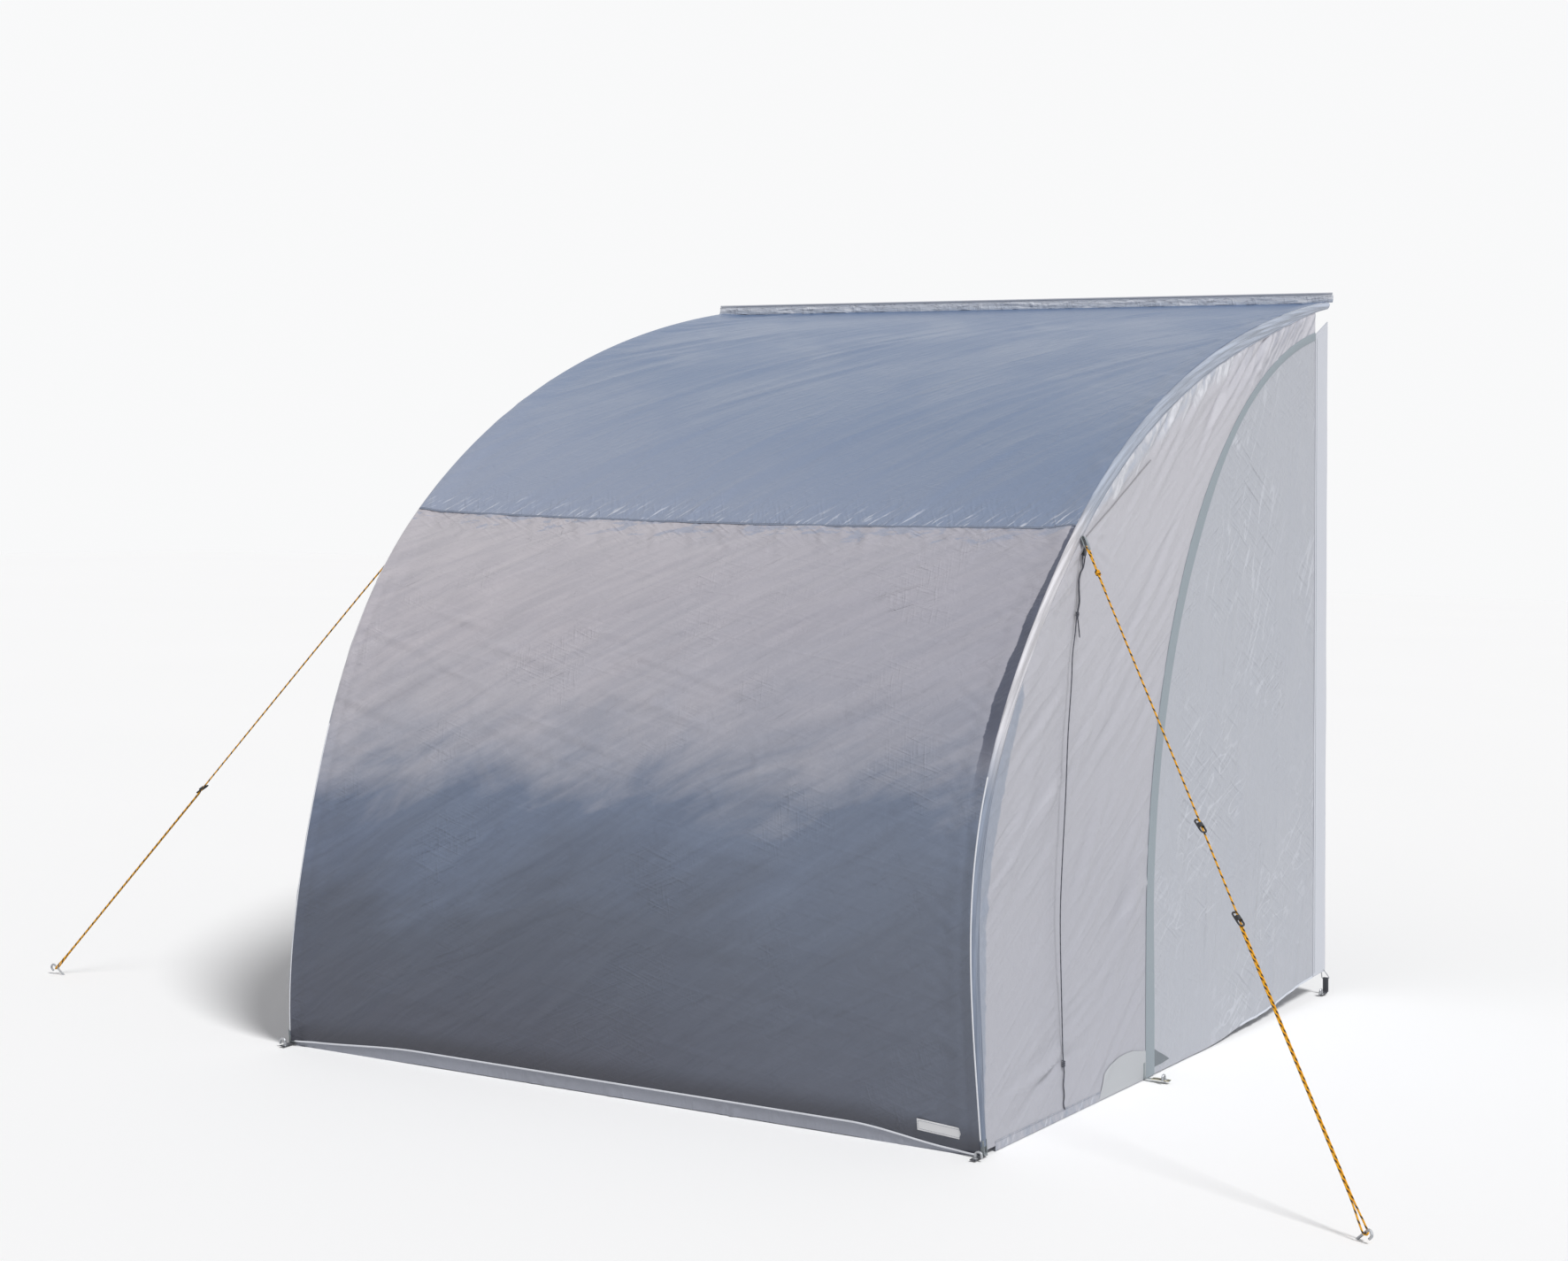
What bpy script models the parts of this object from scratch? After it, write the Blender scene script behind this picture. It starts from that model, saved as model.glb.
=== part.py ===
"""Rear storage tent for bicycles: a lean-to of fabric hung on an awning rail and held out by two hoop poles.

Run it with: blender --background --python part.py

Metres, +Z up. The origin is the middle of the keder bead in the awning rail, X runs along the rail,
and the tent stands out towards -Y. The ground lies RAIL_HEIGHT below the origin.
Each side of the tent is a flat frame with its own coordinates: u runs from the wall to the front,
v runs up from the ground, and "inboard" is the distance from that plane towards the tent's middle.
"""

import math

import bmesh
import bpy
from mathutils import Matrix, Vector

# Overall sizes
RAIL_HEIGHT = 1.986  # keder bead above the ground
WALL_HALF_WIDTH = 1.044  # side plane at the ground, at the wall
RAIL_HALF_WIDTH = 0.985  # side plane at the rail
FRONT_HALF_WIDTH = 0.940  # side plane at the pole's foot
DEPTH = 2.126  # wall to the pole's foot
SEAM_HEIGHT = 1.330  # felled seam between roof and front, on the pole
WAIST = 0.028  # how far the lower half of a pole is drawn inwards
GAP = 0.0003  # between pieces that touch
SNUG = 0.0005  # between sewn edges that follow a bend
WELD = 0.000002  # points nearer than this are one point
CUTTER_LENGTH = 0.020  # of the round cutters for eyes

# Keder and band
BEAD_RADIUS = 0.0035
BEAD_LENGTH = 2.000
BAND_LENGTH = 2.006
BAND_HEIGHT = 0.024
BAND_THICKNESS = 0.002

# Pole, a hoop from the rail to the ground
POLE_RADIUS = 0.0055
POLE_WALL = 0.0015
POLE_START_SLOPE = math.radians(8.25)
POLE_START_REACH = 1.2125
POLE_FOOT_SLOPE = math.radians(82.22)
POLE_FOOT_REACH = 1.294
POLE_STEPS = 32
POLE_TOP_SETBACK = 0.020
POLE_END_HEIGHT = 0.010
POLE_SECTIONS = ("lower", "middle", "upper")
SECTION_GAP = 0.0004
FERRULE_LENGTH = 0.090
FERRULE_WALL = 0.0009

# Sleeve, a folded strip round the pole with a flat inner edge
SLEEVE_WALL = 0.0012
SLEEVE_FIN = 0.030  # pole's centre to the sewn inner edge
SLEEVE_FIN_THICKNESS = 0.0038
SLEEVE_SHOULDER = 130  # degrees round the pole to where the sleeve starts to narrow
SLEEVE_TOP_SETBACK = 0.006
SLEEVE_FOOT_HEIGHT = 0.042

# Fabric
FABRIC = 0.0016
SHEET_LIFT = 0.0015  # sheet above the pole's centre line
SHEET_SAG = 0.016
SHEET_COLUMNS = 8
HEM_HEIGHT = 0.033
FLAP_FABRIC = 0.0012
FLAP_BOTTOM = 0.003
FLAP_OVERLAP = 0.014
SIDE_HEM_HEIGHT = 0.012
SIDE_COLUMNS = 4

# Side wall, door and zip
STRIP_WIDTH = 0.100
STRIP_THICKNESS = 0.004
STRIP_BOTTOM = 0.062
STRIP_FRONT_DROP = 0.120  # keder bead to the strip's top, at its front edge
STRIP_WALL_DROP = 0.078  # and at the wall
WALL_CLEARANCE = 0.003
DOOR_REAR_BOTTOM = 0.048
ZIP_TOP_DROP = 0.004  # strip's front top to the zip's top end
ZIP_HANDLE_REACH = 0.789
ZIP_HANDLE_DROP = 0.262  # below the keder bead
ZIP_FRONT = 1.255  # u of the zip's straight lower part
ZIP_KNEE_HEIGHT = 0.360
ZIP_KNEE_REACH = 0.776
ZIP_STEPS = 14
ZIP_TOP_SETBACK = 0.004  # strip to the zip's top end
ZIP_OPENING = 0.0065  # panel edge to the zip's centre line
TAPE_WIDTH = 0.012
TAPE_THICKNESS = 0.0008
COIL_WIDTH = 0.0024
COIL_THICKNESS = 0.0026
COIL_HALF_GAP = 0.0007
DOOR_ZIP_START = 0.068
STORM_FLAP_WIDTH = 0.029
STORM_FLAP_THICKNESS = 0.0014
STORM_FLAP_STANDOFF = 0.0004  # flap above the panels' outer face
STORM_FLAP_SETBACK = 0.003  # strip to the flap's top end, so that it clears the strip when the door opens

# Zip slider and puller
SLIDER_WIDTH = 0.009
SLIDER_LENGTH = 0.014
SLIDER_PLATE = 0.0008
SLIDER_POST = 0.0008
SLIDER_POST_LENGTH = 0.005
SLIDER_POST_SETBACK = 0.001
SLIDER_HEIGHT = 0.054
COIL_CLEARANCE = 0.0003
LUG_INNER = 0.0012
LUG_OUTER = 0.0024
LUG_WIDTH = 0.0016
PULLER_LENGTH = 0.024
PULLER_WIDTH = 0.006
PULLER_THICKNESS = 0.0010
PULLER_STANDOFF = 0.0009
PULLER_BAR = 0.0006  # half the thickness of the top bar
PULLER_CLEARANCE = 0.0005  # slot to lug
PULLER_CORNER = 0.002
PULLER_WAIST = 0.72  # shares of its full width
PULLER_END = 0.95

# Webbing
WEBBING = 0.0017
POCKET_WIDTH = 0.016
POCKET_HEIGHT = 0.026
POCKET_EASE = 0.0002  # pole to pocket, besides the usual gap
POCKET_TOE = 0.004  # pole's end up to where the pocket slopes down to its tongue
POCKET_SLOPE = 0.002
TONGUE_LENGTH = 0.046
TONGUE_EYE = 0.034  # pole's axis to the peg
DOOR_STRAP_U = 1.283
DOOR_STRAP_WIDTH = 0.018
DOOR_STRAP_TAB = 0.030
DOOR_STRAP_LENGTH = 0.066
DOOR_STRAP_EYE = 0.054
STRAP_LIFT = 0.004  # webbing above the ground
CORNER_STRAP_WIDTH = 0.014
CORNER_STRAP_TONGUE = 0.040
CORNER_STRAP_EYE = 0.030

# Corner ring
RING_WIRE = 0.0015
RING_WIDTH = 0.024
RING_HEIGHT = 0.030
RING_CORNER = 0.004
RING_HOLE_U = 0.016
RING_HOLE_ABOVE_EDGE = 0.010
RING_HOLE_RADIUS = 0.0032

# Pegs
PEG_RADIUS = 0.003
PEG_DEPTH = 0.160
PEG_HOOK_RADIUS = 0.0075
PEG_HOOK_NOSE = 0.006
PEG_NECK = 0.007  # webbing to the start of the hook
EYE_CLEARANCE = 0.0005
PEG_TIP = 0.022

# Guy lines, tabs and runners. Distances along a line are measured from its tab's sewn end.
GUY_RADIUS = 0.002
GUY_TAB_LENGTH = 0.036
GUY_TAB_DEPTH = 0.010
GUY_TAB_WIDTH = 0.014
GUY_TAB_INSET = 0.025  # pole's centre to the tab's sewn end
GUY_KNOT = 0.103
GUY_KNOT_REACH = 0.020
GUY_TAIL = 0.159
GUY_STRAND_GAP = 0.0004  # between strands that lie side by side
GUY_LOOP_RADIUS = 0.0065
GUY_PEG_HEIGHT = 0.020
GUY_LOOP_MOUTH = 0.022  # peg to where the loop is widest
GUY_FLARE = 0.060
GUY_PEG_RIGHT = (1.798, -2.264)
GUY_PEG_LEFT = (-2.051, -1.825)
RUNNER_LENGTH = 0.041
RUNNER_WIDTH = 0.017
RUNNER_RIM = 0.0035
RUNNER_THICKNESS = 0.004
RUNNER_TILT = math.radians(16.0)
RUNNER_RIGHT = 0.994  # tab to the runner, along the line
RUNNER_LEFT = 1.010
SPARE_RUNNER_RIGHT = 0.770

# Tension cords. Their routes are (u, v) points of a side plane, from the loop down.
CORD_RADIUS = 0.0014
CORD_STRAND_GAP = 0.0006
CORD_SPACING = 0.085  # between the points of a straight stretch of any cord
CORD_LOOP_LENGTH = 0.040
CORD_LOOP_DEPTH = 0.008
CORD_LOOP_WIDTH = 0.010
CORD_LOOP_SETBACK = 0.0297  # pole at the seam back to the loop's sewn end
CORD_LOOP_DROP = 0.023
CORD_LOOP_LEAN = math.radians(10.0)
CORD_DOUBLED = (
    (1.6370, 1.2420),
    (1.6510, 1.2300),
    (1.6590, 1.2146),
    (1.6590, 1.1900),
    (1.6570, 1.1640),
    (1.6670, 1.1370),
)
CORD_TAIL = ((1.6600, 1.1080), (1.6540, 1.0820))
CORD_HANG = (
    (1.6780, 1.0950),
    (1.6920, 1.0460),
    (1.6960, 0.9960),
    (1.7030, 0.9460),
    (1.7150, 0.8670),
    (1.7270, 0.7290),
    (1.7410, 0.6100),
    (1.7530, 0.4850),
    (1.7530, 0.4000),
    (1.7490, 0.3220),
    (1.7440, 0.2300),
    (1.7390, 0.1460),
    (1.7320, 0.1050),
    (1.7360, 0.0780),
    (1.7310, 0.0530),
    (1.7350, 0.0350),
    (1.7270, 0.0190),
)

SIDES = {"right": 1, "left": -1}


def clear_scene():
    for item in list(bpy.data.objects):
        bpy.data.objects.remove(item)


def new_collection(name):
    made = bpy.data.collections.new(name)
    bpy.context.scene.collection.children.link(made)
    return made


clear_scene()
PARTS = new_collection("bicycle_storage_tent")
CUTTERS = new_collection("cutters")


def finish(name, color, roughness, metallic=0.0):
    """A plain Principled material."""
    made = bpy.data.materials.new(name)
    made.use_nodes = True
    shader = made.node_tree.nodes["Principled BSDF"]
    shader.inputs["Base Color"].default_value = (*color, 1.0)
    shader.inputs["Roughness"].default_value = roughness
    shader.inputs["Metallic"].default_value = metallic
    return made


ROOF_CLOTH = finish("roof_cloth", (0.25, 0.30, 0.42), 0.65)
FRONT_CLOTH = finish("front_cloth", (0.20, 0.21, 0.26), 0.68)
SIDE_CLOTH = finish("side_cloth", (0.50, 0.52, 0.58), 0.68)
SLEEVE_CLOTH = finish("sleeve_cloth", (0.42, 0.48, 0.58), 0.65)
STRIP_CLOTH = finish("strip_cloth", (0.55, 0.58, 0.63), 0.60)
STORM_CLOTH = finish("storm_flap_cloth", (0.33, 0.38, 0.41), 0.62)
BAND_PVC = finish("keder_band", (0.60, 0.60, 0.62), 0.50)
FLAP_PVC = finish("mud_flap_pvc", (0.55, 0.56, 0.60), 0.45)
GREY_WEB = finish("grey_webbing", (0.30, 0.32, 0.35), 0.80)
DARK_WEB = finish("dark_webbing", (0.06, 0.06, 0.07), 0.80)
ZIP_NYLON = finish("zip_nylon", (0.10, 0.11, 0.12), 0.55)
ZIP_METAL = finish("zip_metal", (0.35, 0.35, 0.36), 0.35, 1.0)
POLE_GLASS = finish("fibreglass", (0.12, 0.12, 0.13), 0.35)
STEEL = finish("steel", (0.60, 0.61, 0.62), 0.30, 1.0)
RUNNER_PLASTIC = finish("runner_plastic", (0.015, 0.015, 0.016), 0.45)
GUY_ROPE = finish("guy_rope", (0.80, 0.36, 0.03), 0.70)
CORD_ROPE = finish("tension_cord_rope", (0.09, 0.09, 0.10), 0.75)


def axes(origin, x_axis, y_axis):
    """A matrix at origin, with these X and Y directions made square to each other."""
    x_dir = Vector(x_axis).normalized()
    y_dir = Vector(y_axis)
    y_dir = (y_dir - x_dir * y_dir.dot(x_dir)).normalized()
    turned = Matrix((x_dir, y_dir, x_dir.cross(y_dir))).transposed().to_4x4()
    turned.translation = origin
    return turned


def side_matrix(side):
    """The side plane through its wall corner at the ground, its end at the rail and the pole's foot."""
    corner = Vector((side * WALL_HALF_WIDTH, 0.0, -RAIL_HEIGHT))
    foot = Vector((side * FRONT_HALF_WIDTH, -DEPTH, -RAIL_HEIGHT))
    top = Vector((side * RAIL_HALF_WIDTH, 0.0, 0.0))
    return axes(corner, foot - corner, top - corner)


SIDE_FRAMES = {side: side_matrix(side) for side in SIDES.values()}


def side_point(side, u, v, inboard=0.0):
    return SIDE_FRAMES[side] @ Vector((u, v, side * inboard))


def side_axis(side, number):
    return SIDE_FRAMES[side].to_3x3().col[number].copy()


def outboard(side):
    return side_axis(side, 2) * -side


def add_frame(name, matrix):
    """An empty that carries the pieces of one side, joint or fitting."""
    empty = bpy.data.objects.new(name, None)
    empty.empty_display_size = 0.05
    empty.matrix_world = matrix
    PARTS.objects.link(empty)
    return empty


SIDE_EMPTIES = {
    side: add_frame(f"{word}_side_frame", SIDE_FRAMES[side]) for word, side in SIDES.items()
}


def place(name, data, material, parent=None, matrix=None):
    item = bpy.data.objects.new(name, data)
    data.materials.append(material)
    item.parent = parent
    if matrix is not None:
        item.matrix_world = matrix
    PARTS.objects.link(item)
    return item


def guide(name, data):
    item = bpy.data.objects.new(name, data)
    item.hide_render = True
    item.display_type = "WIRE"
    CUTTERS.objects.link(item)
    return item


def poly_spline(curve, points, closed):
    spline = curve.splines.new("POLY")
    spline.points.add(len(points) - 1)
    for target, point in zip(spline.points, points):
        target.co = (*point, 0.0, 1.0) if len(point) == 2 else (*point, 1.0)
    spline.use_cyclic_u = closed
    return spline


def plate(name, outlines, thickness, material, parent=None, matrix=None, lift=0.0):
    """A flat outline, with its holes, filled and extruded by half its thickness each way."""
    curve = bpy.data.curves.new(name, "CURVE")
    curve.dimensions = "2D"
    curve.fill_mode = "BOTH"
    curve.extrude = thickness / 2
    for outline in outlines:
        poly_spline(curve, outline, True)
    item = place(name, curve, material, parent, matrix)
    if parent is not None:
        item.location = (0.0, 0.0, lift)
    return item


def tube(name, points, radius, material, parent=None, sides=2, closed=False, radii=None):
    """A solid round tube along points."""
    curve = bpy.data.curves.new(name, "CURVE")
    curve.dimensions = "3D"
    curve.twist_mode = "Z_UP"
    curve.bevel_depth = radius
    curve.bevel_resolution = sides
    curve.use_fill_caps = not closed
    spline = poly_spline(curve, points, closed)
    spline.use_smooth = True
    for target, share in zip(spline.points, radii or ()):
        target.radius = share
    return place(name, curve, material, parent)


def hollow(item, wall):
    """Opens a tube's ends and gives its surface a wall, which grows inwards."""
    item.data.use_fill_caps = False
    shell = item.modifiers.new("wall", "SOLIDIFY")
    shell.thickness = wall
    shell.offset = -1.0
    shell.use_even_offset = True
    return item


def sweep(name, points, profile, material, parent, caps=True):
    """A section swept along points. Profile X is to the right of travel, and profile Y is up."""
    section = bpy.data.curves.new(f"{name}_section", "CURVE")
    section.dimensions = "2D"
    poly_spline(section, profile, True)
    curve = bpy.data.curves.new(name, "CURVE")
    curve.dimensions = "3D"
    curve.twist_mode = "Z_UP"
    curve.bevel_mode = "OBJECT"
    curve.bevel_object = guide(f"{name}_section", section)
    curve.use_fill_caps = caps
    poly_spline(curve, points, False)
    return place(name, curve, material, parent)


def grid_shell(name, rows, thickness, material):
    """A sheet through rows of world points, given its thickness evenly on both sides."""
    mesh = bpy.data.meshes.new(name)
    shape = bmesh.new()
    made = [[shape.verts.new(point) for point in row] for row in rows]
    for lower, upper in zip(made, made[1:]):
        for a, b, c, d in zip(lower, lower[1:], upper[1:], upper):
            shape.faces.new((a, b, c, d)).smooth = True
    shape.to_mesh(mesh)
    shape.free()
    item = place(name, mesh, material)
    shell = item.modifiers.new("thickness", "SOLIDIFY")
    shell.thickness = thickness
    shell.offset = 0.0
    shell.use_even_offset = True
    return item


def as_mesh(item):
    """Turns a curve into a mesh with welded caps, so that it can be cut or joined."""
    graph = bpy.context.evaluated_depsgraph_get()
    mesh = bpy.data.meshes.new_from_object(item.evaluated_get(graph))
    shape = bmesh.new()
    shape.from_mesh(mesh)
    bmesh.ops.remove_doubles(shape, verts=shape.verts, dist=WELD)
    bmesh.ops.recalc_face_normals(shape, faces=shape.faces)
    shape.to_mesh(mesh)
    shape.free()
    name, matrix, parent = item.name, item.matrix_world.copy(), item.parent
    material = item.data.materials[0]
    local = item.matrix_local.copy()
    bpy.data.objects.remove(item)
    mesh.materials.clear()
    made = place(name, mesh, material, parent)
    if parent is None:
        made.matrix_world = matrix
    else:
        made.matrix_local = local
    return made


def boolean(item, other, operation):
    step = item.modifiers.new(operation.lower(), "BOOLEAN")
    step.operation = operation
    step.object = other
    step.solver = "EXACT"


def block(name, size, material, parent=None):
    mesh = bpy.data.meshes.new(name)
    shape = bmesh.new()
    bmesh.ops.create_cube(shape, size=1.0, matrix=Matrix.Diagonal((*size, 1.0)))
    shape.to_mesh(mesh)
    shape.free()
    return place(name, mesh, material, parent)


def to_cutters(item):
    """A solid that is joined into another one is no piece of its own."""
    PARTS.objects.unlink(item)
    CUTTERS.objects.link(item)
    item.hide_render = True
    item.display_type = "WIRE"
    return item


def round_cutter(name, matrix, radius):
    """A cylinder along the matrix's Z axis."""
    mesh = bpy.data.meshes.new(name)
    shape = bmesh.new()
    bmesh.ops.create_cone(
        shape, cap_ends=True, segments=12, radius1=radius, radius2=radius, depth=CUTTER_LENGTH
    )
    shape.to_mesh(mesh)
    shape.free()
    item = guide(name, mesh)
    item.matrix_world = matrix
    return item


def bezier(points, share):
    start, one, two, end = (Vector(point) for point in points)
    rest = 1.0 - share
    return start * rest**3 + one * 3 * rest**2 * share + two * 3 * rest * share**2 + end * share**3


def bezier_normal(points, share):
    """The curve's left-hand normal, which points out of the tent on a curve that runs from wall to ground."""
    start, one, two, end = (Vector(point) for point in points)
    rest = 1.0 - share
    along = (one - start) * rest**2 + (two - one) * 2 * rest * share + (end - two) * share**2
    return Vector((-along.y, along.x)).normalized()


def even_shares(points, steps, fine=400):
    """Shares of a curve that cut it into equal lengths."""
    walk = [bezier(points, number / fine) for number in range(fine + 1)]
    lengths = [0.0]
    for a, b in zip(walk, walk[1:]):
        lengths.append(lengths[-1] + (b - a).length)
    shares = []
    index = 0
    for step in range(steps + 1):
        wanted = lengths[-1] * step / steps
        while index < fine - 1 and lengths[index + 1] < wanted:
            index += 1
        part = (wanted - lengths[index]) / (lengths[index + 1] - lengths[index])
        shares.append((index + part) / fine)
    return shares


POLE_TOP_HEIGHT = RAIL_HEIGHT - BEAD_RADIUS - GAP - BAND_HEIGHT - FABRIC / 2 - GAP - SHEET_LIFT
POLE_CURVE = (
    (0.0, POLE_TOP_HEIGHT),
    (
        POLE_START_REACH * math.cos(POLE_START_SLOPE),
        POLE_TOP_HEIGHT - POLE_START_REACH * math.sin(POLE_START_SLOPE),
    ),
    (
        DEPTH + POLE_FOOT_REACH * math.cos(POLE_FOOT_SLOPE),
        POLE_FOOT_REACH * math.sin(POLE_FOOT_SLOPE),
    ),
    (DEPTH, 0.0),
)
POLE_SHARES = even_shares(POLE_CURVE, POLE_STEPS)


def waist_at(v):
    """How far inboard of the side plane the pole lies at height v."""
    if v >= SEAM_HEIGHT or v <= 0.0:
        return 0.0
    return WAIST * math.sin(math.pi * v / SEAM_HEIGHT) ** 2


class PoleStation:
    """A point of the pole's centre line, with its outward normal in the side plane."""

    def __init__(self, centre, normal, way):
        self.centre = centre
        self.normal = normal
        self.way = way  # 0 at the rail and 1 at the foot
        self.inboard = waist_at(centre.y)

    def offset(self, distance):
        return self.centre + self.normal * distance


STATIONS = [
    PoleStation(bezier(POLE_CURVE, share), bezier_normal(POLE_CURVE, share), number / POLE_STEPS)
    for number, share in enumerate(POLE_SHARES)
]


def between(first, second, part):
    """A station on the straight run between two others, so that pieces share the same facets."""
    made = PoleStation(
        first.centre.lerp(second.centre, part),
        first.normal.lerp(second.normal, part).normalized(),
        first.way + (second.way - first.way) * part,
    )
    made.inboard = first.inboard + (second.inboard - first.inboard) * part
    return made


def running_lengths(points):
    """Distances along a line of points, from its first point."""
    lengths = [0.0]
    for a, b in zip(points, points[1:]):
        lengths.append(lengths[-1] + (b - a).length)
    return lengths


DISTANCES = running_lengths([station.centre for station in STATIONS])


def station_at(distance):
    for number in range(POLE_STEPS):
        if distance <= DISTANCES[number + 1] or number == POLE_STEPS - 1:
            part = (distance - DISTANCES[number]) / (DISTANCES[number + 1] - DISTANCES[number])
            return between(STATIONS[number], STATIONS[number + 1], part)


def distance_at_height(height):
    """Distance along the pole, from the rail, of a height near the front."""
    for number in range(POLE_STEPS, 0, -1):
        low, high = STATIONS[number].centre.y, STATIONS[number - 1].centre.y
        if low <= height <= high:
            part = (high - height) / (high - low)
            return DISTANCES[number - 1] + part * (DISTANCES[number] - DISTANCES[number - 1])
    raise ValueError("height is off the pole")


def run(first, last):
    """The stations from one distance to another, with all corners in between."""
    inner = [
        station
        for station, distance in zip(STATIONS, DISTANCES)
        if first + 1e-4 < distance < last - 1e-4
    ]
    return [station_at(first), *inner, station_at(last)]


POLE_FIRST = POLE_TOP_SETBACK
POLE_LAST = distance_at_height(POLE_END_HEIGHT)
SEAM_DISTANCE = distance_at_height(SEAM_HEIGHT)
FERRULE_RADIUS = POLE_RADIUS + GAP + FERRULE_WALL
SLEEVE_RADIUS = (FERRULE_RADIUS + GAP + SLEEVE_WALL) / math.cos(math.radians(17.5))
SHEET_EDGE = SLEEVE_RADIUS + GAP


def station_points(stations, side):
    return [(*station.centre, side * station.inboard) for station in stations]


def build_pole(word, side):
    """Three fibreglass tubes end to end, with a steel ferrule over each joint."""
    length = (POLE_LAST - POLE_FIRST - SECTION_GAP * (len(POLE_SECTIONS) - 1)) / len(POLE_SECTIONS)
    last = POLE_LAST
    for number, part in enumerate(POLE_SECTIONS):
        first = last - length
        section = tube(
            f"pole_section_{part}_{word}",
            station_points(run(first, last), side),
            POLE_RADIUS,
            POLE_GLASS,
            SIDE_EMPTIES[side],
        )
        hollow(section, POLE_WALL)
        if number < len(POLE_SECTIONS) - 1:
            middle = first - SECTION_GAP / 2
            ferrule = tube(
                f"pole_ferrule_{part}_{word}",
                station_points(run(middle - FERRULE_LENGTH / 2, middle + FERRULE_LENGTH / 2), side),
                FERRULE_RADIUS,
                STEEL,
                SIDE_EMPTIES[side],
            )
            hollow(ferrule, FERRULE_WALL)
        last = first - SECTION_GAP


def sleeve_profile():
    """A round tunnel for the pole that narrows to a flat inner edge."""
    arc = [
        (-SLEEVE_RADIUS * math.cos(math.radians(angle)), SLEEVE_RADIUS * math.sin(math.radians(angle)))
        for angle in (-SLEEVE_SHOULDER, -95, -60, -30, 0, 30, 60, 95, SLEEVE_SHOULDER)
    ]
    half = SLEEVE_FIN_THICKNESS / 2
    return [*arc, (SLEEVE_FIN, half), (SLEEVE_FIN, -half)]


def build_sleeve(word, side):
    stations = run(SLEEVE_TOP_SETBACK, distance_at_height(SLEEVE_FOOT_HEIGHT))
    sleeve = sweep(
        f"pole_sleeve_{word}",
        station_points(stations, side),
        sleeve_profile(),
        SLEEVE_CLOTH,
        SIDE_EMPTIES[side],
        caps=False,
    )
    hollow(sleeve, SLEEVE_WALL)


def sheet_rows(first, last, lift, start_row=None):
    """Rows of points from the left sleeve to the right one, sagging a little in the middle."""
    rows = [start_row] if start_row else []
    for station in run(first, last):
        spot = station.offset(lift)
        left = side_point(-1, *spot, station.inboard + SHEET_EDGE)
        right = side_point(1, *spot, station.inboard + SHEET_EDGE)
        normal = side_axis(1, 0) * station.normal.x + side_axis(1, 1) * station.normal.y
        inward = Vector((0.0, -normal.y, -normal.z))
        drop = SHEET_SAG * math.sin(math.pi * station.way)
        row = []
        for column in range(SHEET_COLUMNS + 1):
            across = column / SHEET_COLUMNS
            row.append(left.lerp(right, across) + inward * drop * 4 * across * (1 - across))
        rows.append(row)
    return rows


def rail_row():
    """The roof's top edge, under the keder band."""
    height = -BEAD_RADIUS - GAP - BAND_HEIGHT - GAP - FABRIC / 2
    half = RAIL_HALF_WIDTH - SHEET_EDGE
    return [
        Vector((half * (2 * column / SHEET_COLUMNS - 1), BAND_THICKNESS / 2, height))
        for column in range(SHEET_COLUMNS + 1)
    ]


def build_sheets():
    """Roof and front sheets, which meet at the felled seam, and the mud flap behind the front's hem."""
    grid_shell(
        "roof_panel",
        sheet_rows(SLEEVE_TOP_SETBACK, SEAM_DISTANCE - SNUG / 2, SHEET_LIFT, rail_row()),
        FABRIC,
        ROOF_CLOTH,
    )
    hem = distance_at_height(HEM_HEIGHT)
    grid_shell(
        "front_panel", sheet_rows(SEAM_DISTANCE + SNUG / 2, hem, SHEET_LIFT), FABRIC, FRONT_CLOTH
    )
    lift = SHEET_LIFT - FABRIC / 2 - GAP - FLAP_FABRIC / 2
    low = distance_at_height(FLAP_BOTTOM)
    rows = sheet_rows(hem - FLAP_OVERLAP, low, lift)
    grid_shell("mud_flap", rows, FLAP_FABRIC, FLAP_PVC)


def build_keder():
    """The bead that runs in the awning rail, and the band that hangs from it."""
    bead = bpy.data.meshes.new("keder_bead")
    shape = bmesh.new()
    bmesh.ops.create_cone(
        shape, cap_ends=True, segments=16, radius1=BEAD_RADIUS, radius2=BEAD_RADIUS, depth=BEAD_LENGTH
    )
    shape.to_mesh(bead)
    shape.free()
    bead.shade_smooth()
    bead.set_sharp_from_angle(angle=math.radians(40))
    item = place("keder_bead", bead, BAND_PVC)
    item.rotation_euler = (0.0, math.pi / 2, 0.0)
    item = block("keder_band", (BAND_LENGTH, BAND_THICKNESS, BAND_HEIGHT), BAND_PVC)
    item.location = (0.0, 0.0, -BEAD_RADIUS - GAP - BAND_HEIGHT / 2)


ZIP_CURVE = (
    (STRIP_WIDTH, RAIL_HEIGHT - STRIP_FRONT_DROP - ZIP_TOP_DROP),
    (ZIP_HANDLE_REACH, RAIL_HEIGHT - ZIP_HANDLE_DROP),
    (ZIP_FRONT, ZIP_KNEE_HEIGHT + ZIP_KNEE_REACH),
    (ZIP_FRONT, ZIP_KNEE_HEIGHT),
)
ZIP_SHARES = even_shares(ZIP_CURVE, ZIP_STEPS)


def zip_line(distance, low, setback=SNUG):
    """The zip's line moved outwards by distance: a curve from the rear strip, then straight down to low."""
    points = [
        bezier(ZIP_CURVE, share) + bezier_normal(ZIP_CURVE, share) * distance for share in ZIP_SHARES
    ]
    points[0] = cut_at(points[0], points[1], 0, STRIP_WIDTH + setback)
    return [*points, Vector((ZIP_FRONT + distance, low))]


def cut_at(point, other, axis, value):
    """The spot on the line through two points where one coordinate has this value."""
    part = (value - point[axis]) / (other[axis] - point[axis])
    return point.lerp(other, part)


def point_along(points, lengths, share):
    """The point at this share of a line's length."""
    wanted = share * lengths[-1]
    index = 0
    while index < len(points) - 2 and lengths[index + 1] < wanted:
        index += 1
    part = (wanted - lengths[index]) / (lengths[index + 1] - lengths[index])
    return points[index].lerp(points[index + 1], part)


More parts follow.
